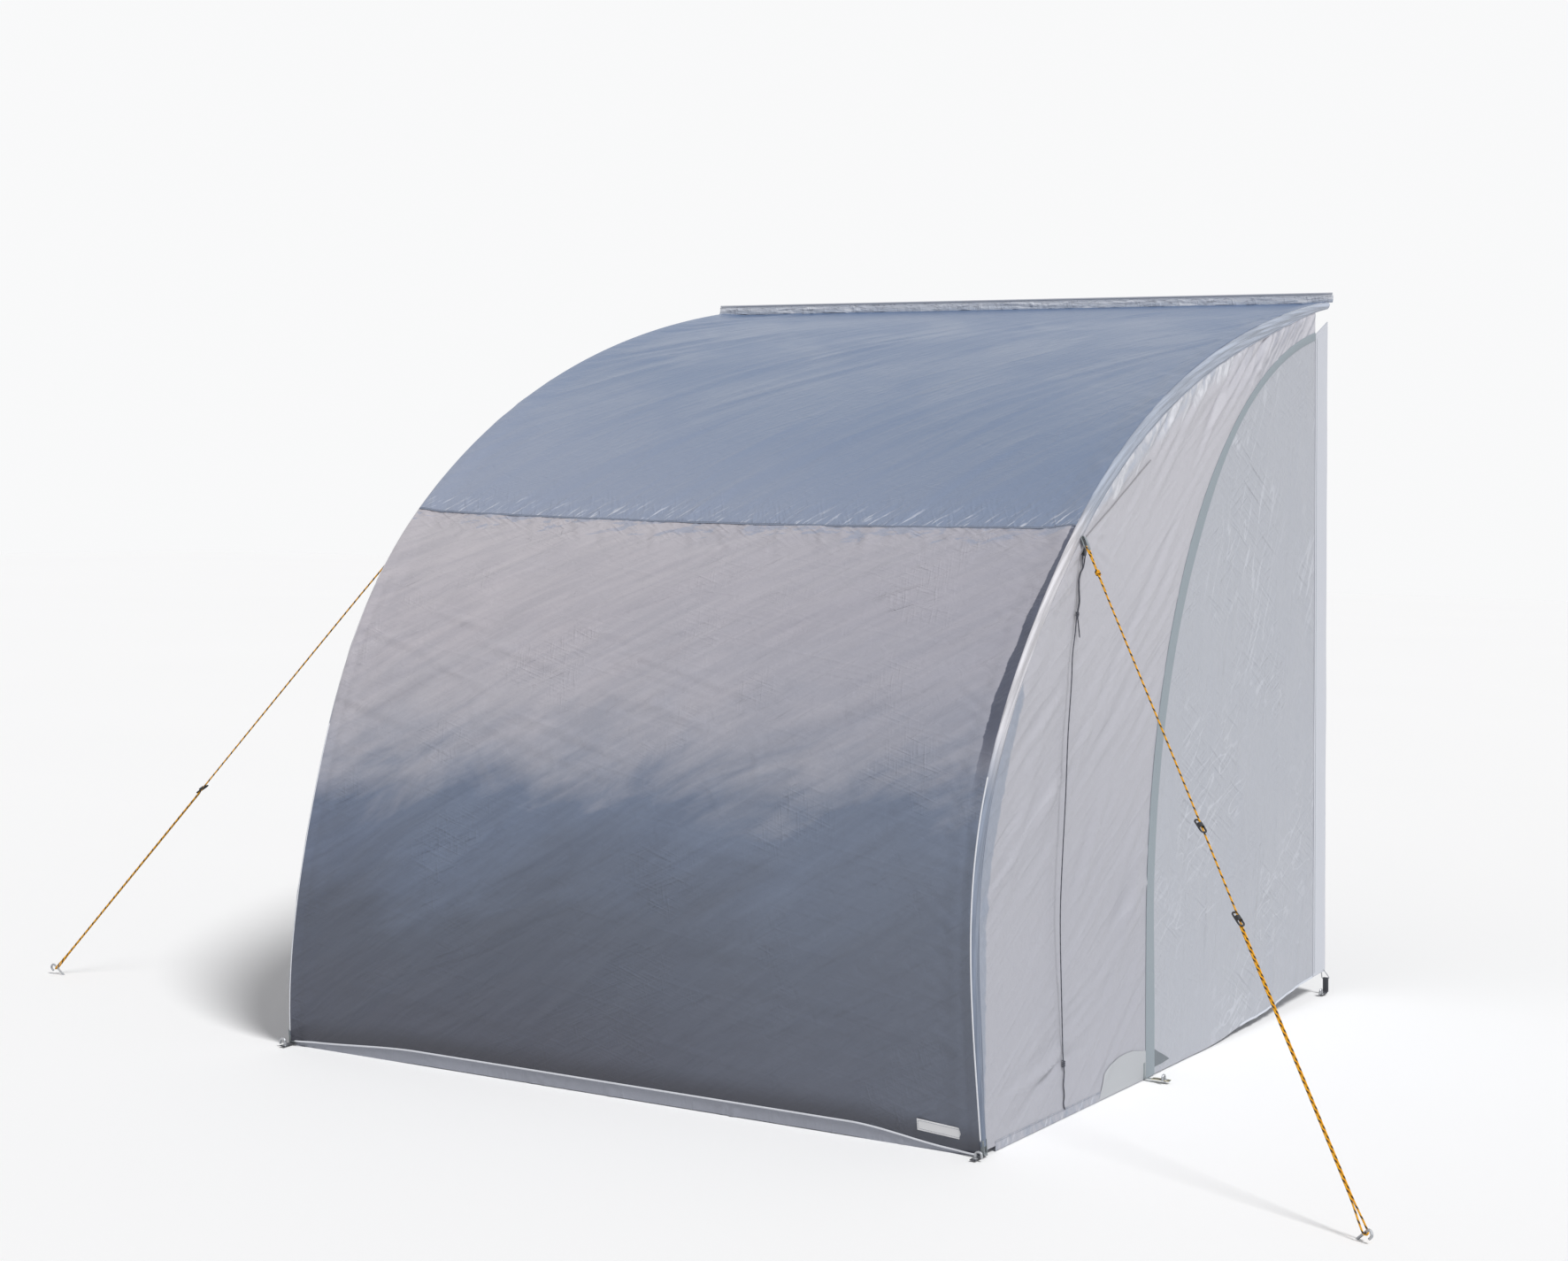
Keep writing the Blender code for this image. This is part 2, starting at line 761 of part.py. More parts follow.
def build_side_panel(word, side):
    """The fixed side wall, from the sleeve's sewn edge to the zip."""
    outer_line = []
    top = next(
        number for number, station in enumerate(STATIONS) if station.offset(-SLEEVE_FIN).x > STRIP_WIDTH
    )
    stations = [*STATIONS[top:-1], STATIONS[-1]]
    before = STATIONS[top - 1]
    reach = -(SLEEVE_FIN + SNUG)
    start = (STRIP_WIDTH + SNUG - before.offset(reach).x) / (
        stations[0].offset(reach).x - before.offset(reach).x
    )
    stations = [between(before, stations[0], start), *stations]
    for station in stations:
        outer_line.append((station.offset(reach), station.inboard))
    low = SIDE_HEM_HEIGHT
    last, last_inboard = outer_line.pop()
    outer_line.append((cut_at(last, outer_line[-1][0], 1, low), last_inboard))
    zip_side = zip_line(ZIP_OPENING, low)
    zip_ways = running_lengths(zip_side)
    rows = []
    for number, (spot, inboard) in enumerate(outer_line):
        mate = point_along(zip_side, zip_ways, number / (len(outer_line) - 1))
        row = []
        for column in range(SIDE_COLUMNS + 1):
            across = column / SIDE_COLUMNS
            u, v = spot.lerp(mate, across)
            row.append(side_point(side, u, v, inboard * (1 - across)))
        rows.append(row)
    if side < 0:
        rows.reverse()
    grid_shell(f"side_panel_{word}", rows, FABRIC, SIDE_CLOTH)


def door_frame(word, side):
    """The door's hinge line is its seam to the rear strip, at the fabric's outer face."""
    origin = side_point(side, STRIP_WIDTH, 0.0, -FABRIC / 2)
    matrix = SIDE_FRAMES[side].copy()
    matrix.translation = origin
    return add_frame(f"door_hinge_{word}", matrix)


def hinge_local(points):
    return [(point[0] - STRIP_WIDTH, point[1]) for point in points]


def build_door(word, side):
    """The door panel with its half of the zip and the storm flap that covers the zip."""
    hinge = door_frame(word, side)
    outline = [*zip_line(-ZIP_OPENING, SIDE_HEM_HEIGHT), (STRIP_WIDTH + SNUG, DOOR_REAR_BOTTOM)]
    face = FABRIC / 2
    plate(
        f"door_panel_{word}",
        [hinge_local(outline)],
        FABRIC,
        SIDE_CLOTH,
        hinge,
        lift=side * face,
    )
    half = STORM_FLAP_WIDTH / 2
    front = zip_line(half, SIDE_HEM_HEIGHT, STORM_FLAP_SETBACK)
    rear = zip_line(-half, SIDE_HEM_HEIGHT, STORM_FLAP_SETBACK)
    band = [*front, *reversed(rear)]
    raise_by = STORM_FLAP_STANDOFF + STORM_FLAP_THICKNESS / 2
    plate(
        f"storm_flap_{word}",
        [hinge_local(band)],
        STORM_FLAP_THICKNESS,
        STORM_CLOTH,
        hinge,
        lift=-side * raise_by,
    )
    zip_half(f"zip_door_half_{word}", side, 1, DOOR_ZIP_START, hinge)
    return hinge


TAPE_INBOARD = FABRIC / 2 + GAP + TAPE_THICKNESS / 2


def zip_half(name, side, towards_door, low, parent):
    """A tape with the coil along its edge. The door's half lies to the right of travel."""
    tape, coil = TAPE_THICKNESS / 2, COIL_THICKNESS / 2
    near, far = COIL_HALF_GAP, COIL_HALF_GAP + TAPE_WIDTH
    step = near + COIL_WIDTH
    section = [(near, -coil), (near, coil), (step, coil), (step, tape), (far, tape), (far, -tape),
               (step, -tape), (step, -coil)]
    if towards_door < 0:
        section = [(-x, y) for x, y in reversed(section)]
    section.reverse()
    points = zip_line(0.0, low, ZIP_TOP_SETBACK)
    if parent in SIDE_EMPTIES.values():
        path = [(*point, side * TAPE_INBOARD) for point in points]
    else:
        path = [(*point, side * (TAPE_INBOARD + FABRIC / 2)) for point in hinge_local(points)]
    as_mesh(sweep(name, path, section, ZIP_NYLON, parent))


def build_slider(word, side):
    """Two plates over the coils, joined by the post between them, with a lug for the puller."""
    centre = side_point(side, ZIP_FRONT, SLIDER_HEIGHT, TAPE_INBOARD)
    inward = -outboard(side)
    frame = add_frame(f"zip_slider_frame_{word}", axes(centre, side_axis(side, 1).cross(inward), inward))
    inner = COIL_THICKNESS / 2 + COIL_CLEARANCE
    outer = inner + SLIDER_PLATE
    plate_size = (SLIDER_WIDTH, SLIDER_PLATE, SLIDER_LENGTH)
    body = block(f"zip_slider_{word}", plate_size, ZIP_METAL, frame)
    body.location = (0.0, (inner + outer) / 2, 0.0)
    back = to_cutters(block(f"zip_slider_back_{word}", plate_size, ZIP_METAL, frame))
    back.location = (0.0, -(inner + outer) / 2, 0.0)
    post_size = (SLIDER_POST, inner + outer, SLIDER_POST_LENGTH)
    post = to_cutters(block(f"zip_slider_post_{word}", post_size, ZIP_METAL, frame))
    post.location = (0.0, 0.0, (SLIDER_LENGTH - SLIDER_POST_LENGTH) / 2 - SLIDER_POST_SETBACK)
    axis_at = outer + PULLER_STANDOFF
    arc = [math.pi * number / 8 for number in range(9)]
    sunk = PULLER_STANDOFF + SLIDER_PLATE / 2
    lug = [(-sunk, -LUG_OUTER)]
    lug += [(LUG_OUTER * math.sin(a), -LUG_OUTER * math.cos(a)) for a in arc]
    lug += [(-sunk, LUG_OUTER), (-sunk, LUG_INNER)]
    lug += [(LUG_INNER * math.sin(a), LUG_INNER * math.cos(a)) for a in arc]
    lug += [(-sunk, -LUG_INNER)]
    lug_matrix = frame.matrix_world @ axes((0.0, axis_at, 0.0), (0.0, 1.0, 0.0), (0.0, 0.0, 1.0))
    arch = as_mesh(plate(f"zip_lug_{word}", [lug], LUG_WIDTH, ZIP_METAL, matrix=lug_matrix))
    boolean(body, post, "UNION")
    boolean(body, back, "UNION")
    boolean(body, to_cutters(arch), "UNION")
    build_puller(word, frame.matrix_world, axis_at)


def build_puller(word, slider, axis_at):
    """A tab whose top bar turns inside the slider's lug. It hangs straight down."""
    centre = slider @ Vector((0.0, axis_at, 0.0))
    matrix = axes(centre, slider.to_3x3().col[0], (0.0, 0.0, -1.0))
    pivot = add_frame(f"zip_puller_pivot_{word}", matrix)
    half, bar, corner = PULLER_WIDTH / 2, PULLER_BAR, PULLER_CORNER
    slot_half = LUG_WIDTH / 2 + PULLER_CLEARANCE
    slot_end = LUG_OUTER + PULLER_CLEARANCE
    waist, end = half * PULLER_WAIST, half * PULLER_END
    right = [(half, -bar), (half, slot_end), (waist, slot_end + corner * 2),
             (end, PULLER_LENGTH - corner), (end - corner / 2, PULLER_LENGTH)]
    outline = [*right, *((-x, y) for x, y in reversed(right))]
    slot = [(-slot_half, bar), (slot_half, bar), (slot_half, slot_end), (-slot_half, slot_end)]
    plate(f"zip_puller_{word}", [outline, slot], PULLER_THICKNESS, ZIP_METAL, pivot)


def build_wall_strip(word, side):
    """The padded strip along the wall, with an eye for the corner ring."""
    front = STRIP_WIDTH - SNUG
    outline = [(WALL_CLEARANCE, STRIP_BOTTOM), (front, DOOR_REAR_BOTTOM),
               (front, RAIL_HEIGHT - STRIP_FRONT_DROP), (WALL_CLEARANCE, RAIL_HEIGHT - STRIP_WALL_DROP)]
    strip = plate(f"wall_strip_{word}", [outline], STRIP_THICKNESS, STRIP_CLOTH, SIDE_EMPTIES[side])
    strip = as_mesh(strip)
    matrix = SIDE_FRAMES[side] @ Matrix.Translation((RING_HOLE_U, ring_hole_v(), 0.0))
    boolean(strip, round_cutter(f"ring_eye_{word}", matrix, RING_HOLE_RADIUS), "DIFFERENCE")


def ring_hole_v():
    slope = (DOOR_REAR_BOTTOM - STRIP_BOTTOM) / (STRIP_WIDTH - SNUG - WALL_CLEARANCE)
    return STRIP_BOTTOM + slope * (RING_HOLE_U - WALL_CLEARANCE) + RING_HOLE_ABOVE_EDGE


def arc_points(centre, radius, start, end, steps):
    made = []
    for number in range(steps + 1):
        angle = math.radians(start + (end - start) * number / steps)
        made.append((centre[0] + radius * math.cos(angle), centre[1] + radius * math.sin(angle)))
    return made


def rounded_triangle(corners, radius):
    """The centre line of a wire bent round three corners."""
    made = []
    count = len(corners)
    for number, corner in enumerate(corners):
        before = (Vector(corners[number - 1]) - Vector(corner)).normalized()
        after = (Vector(corners[(number + 1) % count]) - Vector(corner)).normalized()
        half = before.angle(after) / 2
        centre = Vector(corner) + (before + after).normalized() * radius / math.sin(half)
        first = Vector(corner) + before * radius / math.tan(half)
        last = Vector(corner) + after * radius / math.tan(half)
        start, stop = first - centre, last - centre
        turn = stop.angle_signed(start)
        for step in range(4):
            angle = turn * step / 3
            spun = Vector((
                start.x * math.cos(angle) - start.y * math.sin(angle),
                start.x * math.sin(angle) + start.y * math.cos(angle),
            ))
            made.append(centre + spun)
    return made


def build_corner_ring(word, side):
    """A triangular wire ring through the rear strip's eye, and the strap that pegs it to the ground."""
    eye = side_point(side, RING_HOLE_U, ring_hole_v())
    frame = add_frame(f"corner_ring_frame_{word}", axes(eye, outboard(side), side_axis(side, 1)))
    corners = [(-RING_WIDTH * 0.15, RING_CORNER * 1.2), (-RING_WIDTH * 0.02, -RING_HEIGHT),
               (RING_WIDTH, -RING_HEIGHT)]
    wire = [(*point, 0.0) for point in rounded_triangle(corners, RING_CORNER)]
    apex = Vector((0.0, 0.0))
    nearest = min(wire, key=lambda point: (Vector(point[:2]) - apex).length)
    wire = [(x - nearest[0], y - nearest[1], z) for x, y, z in wire]
    tube(f"corner_ring_{word}", wire, RING_WIRE, STEEL, frame, closed=True)
    bar = min(point[1] for point in wire)
    middle = sum(point[0] for point in wire if point[1] < bar + 1e-5)
    count = sum(1 for point in wire if point[1] < bar + 1e-5)
    build_corner_strap(word, side, ring_hole_v() + bar, middle / count)


def build_corner_strap(word, side, bar_v, bar_out):
    """Webbing folded round the ring's lower bar, down to the ground and forward to the peg."""
    hug = RING_WIRE + GAP * 2
    outer = hug + WEBBING
    centre = (RING_HOLE_U, bar_v)
    floor = STRAP_LIFT
    tip = RING_HOLE_U + CORNER_STRAP_TONGUE
    shape = arc_points(centre, outer, 0, 180, 8)
    shape += [(centre[0] - outer, floor), (tip, floor), (tip, floor + WEBBING),
              (centre[0] + outer, floor + WEBBING)]
    hole = arc_points(centre, hug, 0, 180, 8)
    hole += [(centre[0] - hug, centre[1] - hug * 1.6), (centre[0] + hug, centre[1] - hug * 1.6)]
    strap = plate(
        f"corner_strap_{word}",
        [shape, hole],
        CORNER_STRAP_WIDTH,
        DARK_WEB,
        SIDE_EMPTIES[side],
        lift=-side * bar_out,
    )
    strap = as_mesh(strap)
    eye = side_point(side, RING_HOLE_U + CORNER_STRAP_EYE, floor + WEBBING / 2, -bar_out)
    matrix = Matrix.Translation(eye)
    boolean(strap, round_cutter(f"corner_eye_{word}", matrix, PEG_RADIUS + EYE_CLEARANCE), "DIFFERENCE")
    top = eye + Vector((0.0, 0.0, WEBBING / 2))
    build_peg(f"corner_peg_{word}", axes(top, side_axis(side, 0), (0.0, 0.0, 1.0)))


def build_peg(name, matrix):
    """A bent steel peg. The matrix's Y points up the shank, and the hook turns towards its X."""
    frame = add_frame(f"{name}_frame", matrix)
    neck = PEG_NECK
    hook = [(PEG_HOOK_RADIUS - PEG_HOOK_RADIUS * math.cos(a), neck + PEG_HOOK_RADIUS * math.sin(a), 0.0)
            for a in (math.pi * step / 6 for step in range(7))]
    end = (2 * PEG_HOOK_RADIUS, neck - PEG_HOOK_NOSE, 0.0)
    path = [(0.0, -PEG_DEPTH, 0.0), (0.0, -PEG_DEPTH + PEG_TIP, 0.0), *hook, end]
    radii = [0.25] + [1.0] * (len(path) - 1)
    peg = tube(name, path, PEG_RADIUS, STEEL, frame, radii=radii)
    return peg


def build_foot(word, side):
    """A webbing pocket under the pole's end, with a tongue in front for the peg."""
    end = station_at(POLE_LAST)
    out = end.normal
    up = Vector((-out.y, out.x))
    if up.y < 0:
        up.negate()
    reach = POLE_RADIUS + GAP + POCKET_EASE
    wall = reach + WEBBING

    def spot(across, along):
        return end.centre + out * across + up * along

    low_back = spot(-wall, -GAP - WEBBING)
    floor = STRAP_LIFT
    tip = end.centre.x + TONGUE_LENGTH
    front = spot(wall, POCKET_TOE)
    outline = [
        spot(-wall, POCKET_HEIGHT), low_back, (low_back.x, floor), (tip, floor), (tip, floor + WEBBING),
        (front.x + POCKET_SLOPE, floor + WEBBING), front, spot(wall, POCKET_HEIGHT), spot(reach, POCKET_HEIGHT),
        spot(reach, -GAP), spot(-reach, -GAP), spot(-reach, POCKET_HEIGHT),
    ]
    pocket = plate(
        f"foot_pocket_{word}",
        [outline],
        POCKET_WIDTH,
        DARK_WEB,
        SIDE_EMPTIES[side],
        lift=side * end.inboard,
    )
    pocket = as_mesh(pocket)
    eye = side_point(side, end.centre.x + TONGUE_EYE, floor + WEBBING / 2, end.inboard)
    matrix = Matrix.Translation(eye)
    boolean(pocket, round_cutter(f"foot_eye_{word}", matrix, PEG_RADIUS + EYE_CLEARANCE), "DIFFERENCE")
    top = eye + Vector((0.0, 0.0, WEBBING / 2))
    build_peg(f"foot_peg_{word}", axes(top, outboard(side), (0.0, 0.0, 1.0)))


def build_door_strap(word, side):
    """An L of webbing: a tab sewn on the fixed panel beside the zip, and a tongue out to the peg."""
    face = FABRIC / 2 + GAP
    origin = side_point(side, DOOR_STRAP_U, 0.0)
    matrix = axes(origin, outboard(side), side_axis(side, 1))
    low = STRAP_LIFT
    foot = SIDE_HEM_HEIGHT
    outline = [(face, foot + DOOR_STRAP_TAB), (face, low), (face + DOOR_STRAP_LENGTH, low),
               (face + DOOR_STRAP_LENGTH, low + WEBBING), (face + WEBBING, low + WEBBING),
               (face + WEBBING, foot + DOOR_STRAP_TAB)]
    strap = as_mesh(plate(f"door_strap_{word}", [outline], DOOR_STRAP_WIDTH, GREY_WEB, matrix=matrix))
    eye = matrix @ Vector((face + DOOR_STRAP_EYE, low + WEBBING / 2, 0.0))
    cutter = round_cutter(f"door_eye_{word}", Matrix.Translation(eye), PEG_RADIUS + EYE_CLEARANCE)
    boolean(strap, cutter, "DIFFERENCE")
    top = eye + Vector((0.0, 0.0, WEBBING / 2))
    build_peg(f"door_peg_{word}", axes(top, side_axis(side, 0), (0.0, 0.0, 1.0)))


def loop_outlines(length, depth, wall):
    """A flat band loop seen from its edge: a long ring that starts at X = 0."""
    outer = depth / 2
    inner = outer - wall
    shape = arc_points((length - outer, 0.0), outer, -90, 90, 8)
    shape += arc_points((outer, 0.0), outer, 90, 270, 8)
    hole = arc_points((length - outer, 0.0), inner, -90, 90, 8)
    hole += arc_points((outer, 0.0), inner, 90, 270, 8)
    return [shape, hole]


def guy_peg_spot(side):
    plan = GUY_PEG_RIGHT if side > 0 else GUY_PEG_LEFT
    return Vector((*plan, GUY_PEG_HEIGHT - RAIL_HEIGHT))


def fin_half_thickness(inset):
    """Half the sleeve's thickness where it narrows, at this distance inwards from the pole's centre."""
    shoulder = math.radians(SLEEVE_SHOULDER)
    start = -SLEEVE_RADIUS * math.cos(shoulder)
    half = SLEEVE_RADIUS * math.sin(shoulder)
    return half + (SLEEVE_FIN_THICKNESS / 2 - half) * (inset - start) / (SLEEVE_FIN - start)


def guy_tab_matrix(side):
    """The guy tab's frame: it starts on the sleeve's flat edge, and X points down the guy."""
    station = station_at(SEAM_DISTANCE)
    centre = side_point(side, *station.offset(-GUY_TAB_INSET), station.inboard)
    out = outboard(side)
    normal = side_axis(side, 0) * station.normal.x + side_axis(side, 1) * station.normal.y
    way = (guy_peg_spot(side) - centre).normalized()
    edge = way.cross(out).normalized() * GUY_TAB_WIDTH / 2
    touch = GUY_TAB_INSET - way.dot(normal) * GUY_TAB_DEPTH / 2 - abs(edge.dot(normal))
    seat = fin_half_thickness(touch) + GAP
    root = centre + out * (seat + GUY_TAB_DEPTH / 2 * (1 - way.dot(out)))
    return axes(root, guy_peg_spot(side) - root, out)


def guy_matrix(side):
    """The guy line's frame: at the peg's loop, X up the line, Z square to it and out of the ground."""
    root = guy_tab_matrix(side).translation
    peg = guy_peg_spot(side)
    along = (root - peg).normalized()
    across = Vector((0.0, 0.0, 1.0)).cross(along)
    return axes(peg, along, across), (root - peg).length


def smooth_route(points):
    """Points of a smooth curve through the route's own points, with more of them on long stretches."""
    route = [Vector(point) for point in points]
    ends = [route[0] * 2 - route[1], *route, route[-1] * 2 - route[-2]]
    made = []
    for a, b, c, d in zip(ends, ends[1:], ends[2:], ends[3:]):
        steps = max(1, round((c - b).length / CORD_SPACING))
        for step in range(steps):
            t = step / steps
            # Tangents that suit the length of their own stretch keep long and short ones from overshooting.
            reach = (c - b).length
            out_of = (c - a) * reach / ((b - a).length + reach)
            into = (d - b) * reach / ((d - c).length + reach)
            made.append(
                b * (2 * t**3 - 3 * t**2 + 1)
                + out_of * (t**3 - 2 * t**2 + t)
                + c * (3 * t**2 - 2 * t**3)
                + into * (t**3 - t**2)
            )
    made.append(route[-1])
    return made


def webbing_bight(length, width, radius):
    """(distance, across) points of a cord that opens out beside a webbing loop and passes through its end."""
    inside = length - WEBBING - GAP - radius
    beside = width / 2 + radius + GAP * 2
    one_side = [
        (inside + 0.022, beside * 0.58),
        (inside + 0.012, beside * 0.88),
        (inside + 0.0045, beside * 1.02),
        (inside + 0.0015, beside * 0.99),
        (inside, width / 2 + radius * 0.2),
        (inside, width / 4),
    ]
    return [(along, -across) for along, across in one_side] + list(reversed(one_side))


def guy_route(side, length, runner):
    """From the tail at the knot, through the tab, down to the peg, round it and back up to the runner."""
    beside = GUY_RADIUS + GUY_STRAND_GAP / 2
    spread = guy_matrix(side)[0].to_3x3().inverted() @ guy_tab_matrix(side).to_3x3().col[2]
    bight = webbing_bight(GUY_TAB_LENGTH, GUY_TAB_WIDTH, GUY_RADIUS)
    top = [(GUY_TAIL, -beside), (GUY_KNOT + GUY_KNOT_REACH, -beside), (GUY_KNOT, -beside)]
    top += [(GUY_KNOT - GUY_KNOT_REACH, -beside * 1.15)]
    top += bight
    top += [(GUY_KNOT - GUY_KNOT_REACH, beside * 1.15), (GUY_KNOT, beside), (GUY_TAIL, beside)]
    route = [(length - along, across * spread.y, across * spread.z) for along, across in top]
    route += [(length - 0.30, -beside * 0.2, 0.0), (length - 0.60, -beside, 0.0)]
    route += [(0.45, -beside, 0.0), (0.12, -beside, 0.0), (GUY_FLARE, -beside * 1.2, 0.0)]
    wide = GUY_LOOP_RADIUS * 0.86
    round_peg = arc_points((0.0, 0.0), GUY_LOOP_RADIUS, -90, -270, 6)
    loop = [(GUY_LOOP_MOUTH, -wide), *round_peg, (GUY_LOOP_MOUTH, wide)]
    route += [(x, y, 0.0) for x, y in loop]
    route += [(GUY_FLARE, beside * 1.2, 0.0), (0.12, beside, 0.0), (0.45, beside, 0.0)]
    return [*route, (runner - RUNNER_LENGTH * 0.22, beside, 0.0)]


def build_guy(word, side):
    """Tab, line, peg and runners of one guy."""
    matrix, length = guy_matrix(side)
    frame = add_frame(f"guy_frame_{word}", matrix)
    plate(
        f"guy_tab_{word}",
        loop_outlines(GUY_TAB_LENGTH, GUY_TAB_DEPTH, WEBBING),
        GUY_TAB_WIDTH,
        GREY_WEB,
        matrix=guy_tab_matrix(side),
    )
    runner = length - (RUNNER_RIGHT if side > 0 else RUNNER_LEFT)
    route = smooth_route(guy_route(side, length, runner))
    tube(f"guy_line_{word}", [tuple(point) for point in route], GUY_RADIUS, GUY_ROPE, frame)
    build_runner(f"guy_runner_{word}", matrix, runner)
    if side > 0:
        build_runner("spare_runner_right", matrix, length - SPARE_RUNNER_RIGHT)
    peg_x = -GUY_LOOP_RADIUS + GUY_RADIUS + GAP + PEG_RADIUS
    top = matrix @ Vector((peg_x, 0.0, GUY_RADIUS))
    rotation = matrix.to_3x3()
    build_peg(f"guy_peg_{word}", axes(top, -rotation.col[0], rotation.col[2]))


def build_runner(name, guy, along):
    """An oval ring that lies aslant across the line, so that the strands pass through its opening."""
    half, rim = RUNNER_WIDTH / 2, RUNNER_RIM
    straight = RUNNER_LENGTH / 2 - half
    shape = arc_points((straight, 0.0), half, -90, 90, 8) + arc_points((-straight, 0.0), half, 90, 270, 8)
    inner = half - rim
    hole = arc_points((straight, 0.0), inner, -90, 90, 8) + arc_points((-straight, 0.0), inner, 90, 270, 8)
    tilt = Matrix.Translation((along, 0.0, 0.0)) @ Matrix.Rotation(RUNNER_TILT, 4, "Y")
    plate(name, [shape, hole], RUNNER_THICKNESS, RUNNER_PLASTIC, matrix=guy @ tilt)


def build_tension_cord(word, side):
    """The dark loop sewn in beside the guy tab, and the thin cord that hangs from it down the side."""
    face = FABRIC / 2 + GAP
    loop_out = face + CORD_LOOP_DEPTH / 2
    down = Vector((math.sin(CORD_LOOP_LEAN), -math.cos(CORD_LOOP_LEAN)))
    sewn = station_at(SEAM_DISTANCE).centre - Vector((CORD_LOOP_SETBACK, CORD_LOOP_DROP))
    top = side_point(side, *sewn, -loop_out)
    way = side_axis(side, 0) * down.x + side_axis(side, 1) * down.y
    plate(
        f"cord_loop_{word}",
        loop_outlines(CORD_LOOP_LENGTH, CORD_LOOP_DEPTH, WEBBING),
        CORD_LOOP_WIDTH,
        DARK_WEB,
        matrix=axes(top, way, outboard(side)),
    )
    across = Vector((-down.y, down.x))
    bight = [
        sewn + down * along + across * aside
        for along, aside in webbing_bight(CORD_LOOP_LENGTH, CORD_LOOP_WIDTH, CORD_RADIUS)
    ]
    beside = Vector((CORD_RADIUS + CORD_STRAND_GAP / 2, 0.0))
    doubled = [Vector(spot) for spot in CORD_DOUBLED]
    flat = [Vector(spot) for spot in reversed(CORD_TAIL)]
    flat += [spot - beside for spot in reversed(doubled)]
    flat += bight
    flat += [spot + beside for spot in doubled]
    flat += [Vector(spot) for spot in CORD_HANG]
    rest_out = face + CORD_RADIUS
    top_height = CORD_DOUBLED[0][1]
    route = []
    for spot in flat:
        share = min(1.0, (spot.y - CORD_HANG[-1][1]) / (top_height - CORD_HANG[-1][1]))
        route.append((spot.x, spot.y, -side * (rest_out + (loop_out - rest_out) * share)))
    points = [tuple(point) for point in smooth_route(route)]
    tube(f"tension_cord_{word}", points, CORD_RADIUS, CORD_ROPE, SIDE_EMPTIES[side])


def build_side(word, side):
    build_sleeve(word, side)
    build_pole(word, side)
    build_side_panel(word, side)
    build_door(word, side)
    zip_half(f"zip_fixed_half_{word}", side, -1, SIDE_HEM_HEIGHT, SIDE_EMPTIES[side])
    build_slider(word, side)
    build_wall_strip(word, side)
    build_corner_ring(word, side)
    build_foot(word, side)
    build_door_strap(word, side)
    build_guy(word, side)
    build_tension_cord(word, side)


build_keder()
build_sheets()
for side_word, side_sign in SIDES.items():
    build_side(side_word, side_sign)
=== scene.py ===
import math

import bpy
import numpy as np
from mathutils import Matrix, Vector


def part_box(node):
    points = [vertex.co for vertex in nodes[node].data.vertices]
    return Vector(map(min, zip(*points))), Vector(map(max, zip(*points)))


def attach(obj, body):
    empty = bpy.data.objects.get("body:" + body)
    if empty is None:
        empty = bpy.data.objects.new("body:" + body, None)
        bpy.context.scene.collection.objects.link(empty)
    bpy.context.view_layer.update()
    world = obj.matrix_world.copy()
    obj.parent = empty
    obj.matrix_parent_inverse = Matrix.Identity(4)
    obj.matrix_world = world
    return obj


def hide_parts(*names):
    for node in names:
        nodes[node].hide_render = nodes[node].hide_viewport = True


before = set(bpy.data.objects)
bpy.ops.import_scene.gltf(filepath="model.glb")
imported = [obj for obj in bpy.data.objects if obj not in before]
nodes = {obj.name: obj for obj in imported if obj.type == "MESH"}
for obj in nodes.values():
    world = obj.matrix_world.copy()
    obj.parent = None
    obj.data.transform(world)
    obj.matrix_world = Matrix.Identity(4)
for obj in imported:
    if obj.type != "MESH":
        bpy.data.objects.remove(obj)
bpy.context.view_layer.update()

bpy.ops.object.select_all(action="DESELECT")

# Metres. The keder bead's middle is the origin, X runs along the rail, the tent stands out towards -Y.
tent = {
    "railHeight": 1.986,
    "wallHalf": 1.044,
    "railHalf": 0.985,
    "frontHalf": 0.940,
    "depth": 2.126,
    "seamHeight": 1.330,
    "waist": 0.028,
    "gap": 0.0003,
    "hemHeight": 0.033,
    "sheetLift": 0.0015,
    "sheetSag": 0.016,
    "sheetEdge": 0.0089,  # pole's centre to the edge of the roof and front
    "poleLift": 0.0082,  # how much higher the cloth lies over a pole
    "poleFade": (0.004, 0.075),  # from where to where that height falls off
}
poleShape = {
    "top": 1.9556,
    "startSlope": 8.25,
    "startReach": 1.2125,
    "footSlope": 82.22,
    "footReach": 1.294,
}
words = {1: "right", -1: "left"}  # each side's sign and word


# Geometry shared by all pieces
def unit(vector):
    return vector / np.linalg.norm(vector)


def makeSide(side):
    # A side's plane: its rear corner on the ground, and the ways along it, up it and square to it
    corner = np.array((side * tent["wallHalf"], 0.0, -tent["railHeight"]))
    foot = np.array((side * tent["frontHalf"], -tent["depth"], -tent["railHeight"]))
    top = np.array((side * tent["railHalf"], 0.0, 0.0))
    along = unit(foot - corner)
    up = top - corner
    up = unit(up - along * (up @ along))
    return corner, along, up, np.cross(along, up)


sideFrames = {side: makeSide(side) for side in words}


def sidePoint(side, u, v, inboard=0.0):
    # A point of a side: u along the ground from the wall, v up, and how far inboard of its plane
    corner, along, up, across = sideFrames[side]
    u, v, inboard = np.broadcast_arrays(*(np.asarray(x, float) for x in (u, v, inboard)))
    return corner + u[..., None] * along + v[..., None] * up + (side * inboard)[..., None] * across


def outboard(side):
    return -side * sideFrames[side][3]


def bezier(points, share):
    share = np.asarray(share, float)[..., None]
    rest = 1.0 - share
    a, b, c, d = points
    return a * rest**3 + b * 3 * rest**2 * share + c * 3 * rest * share**2 + d * share**3


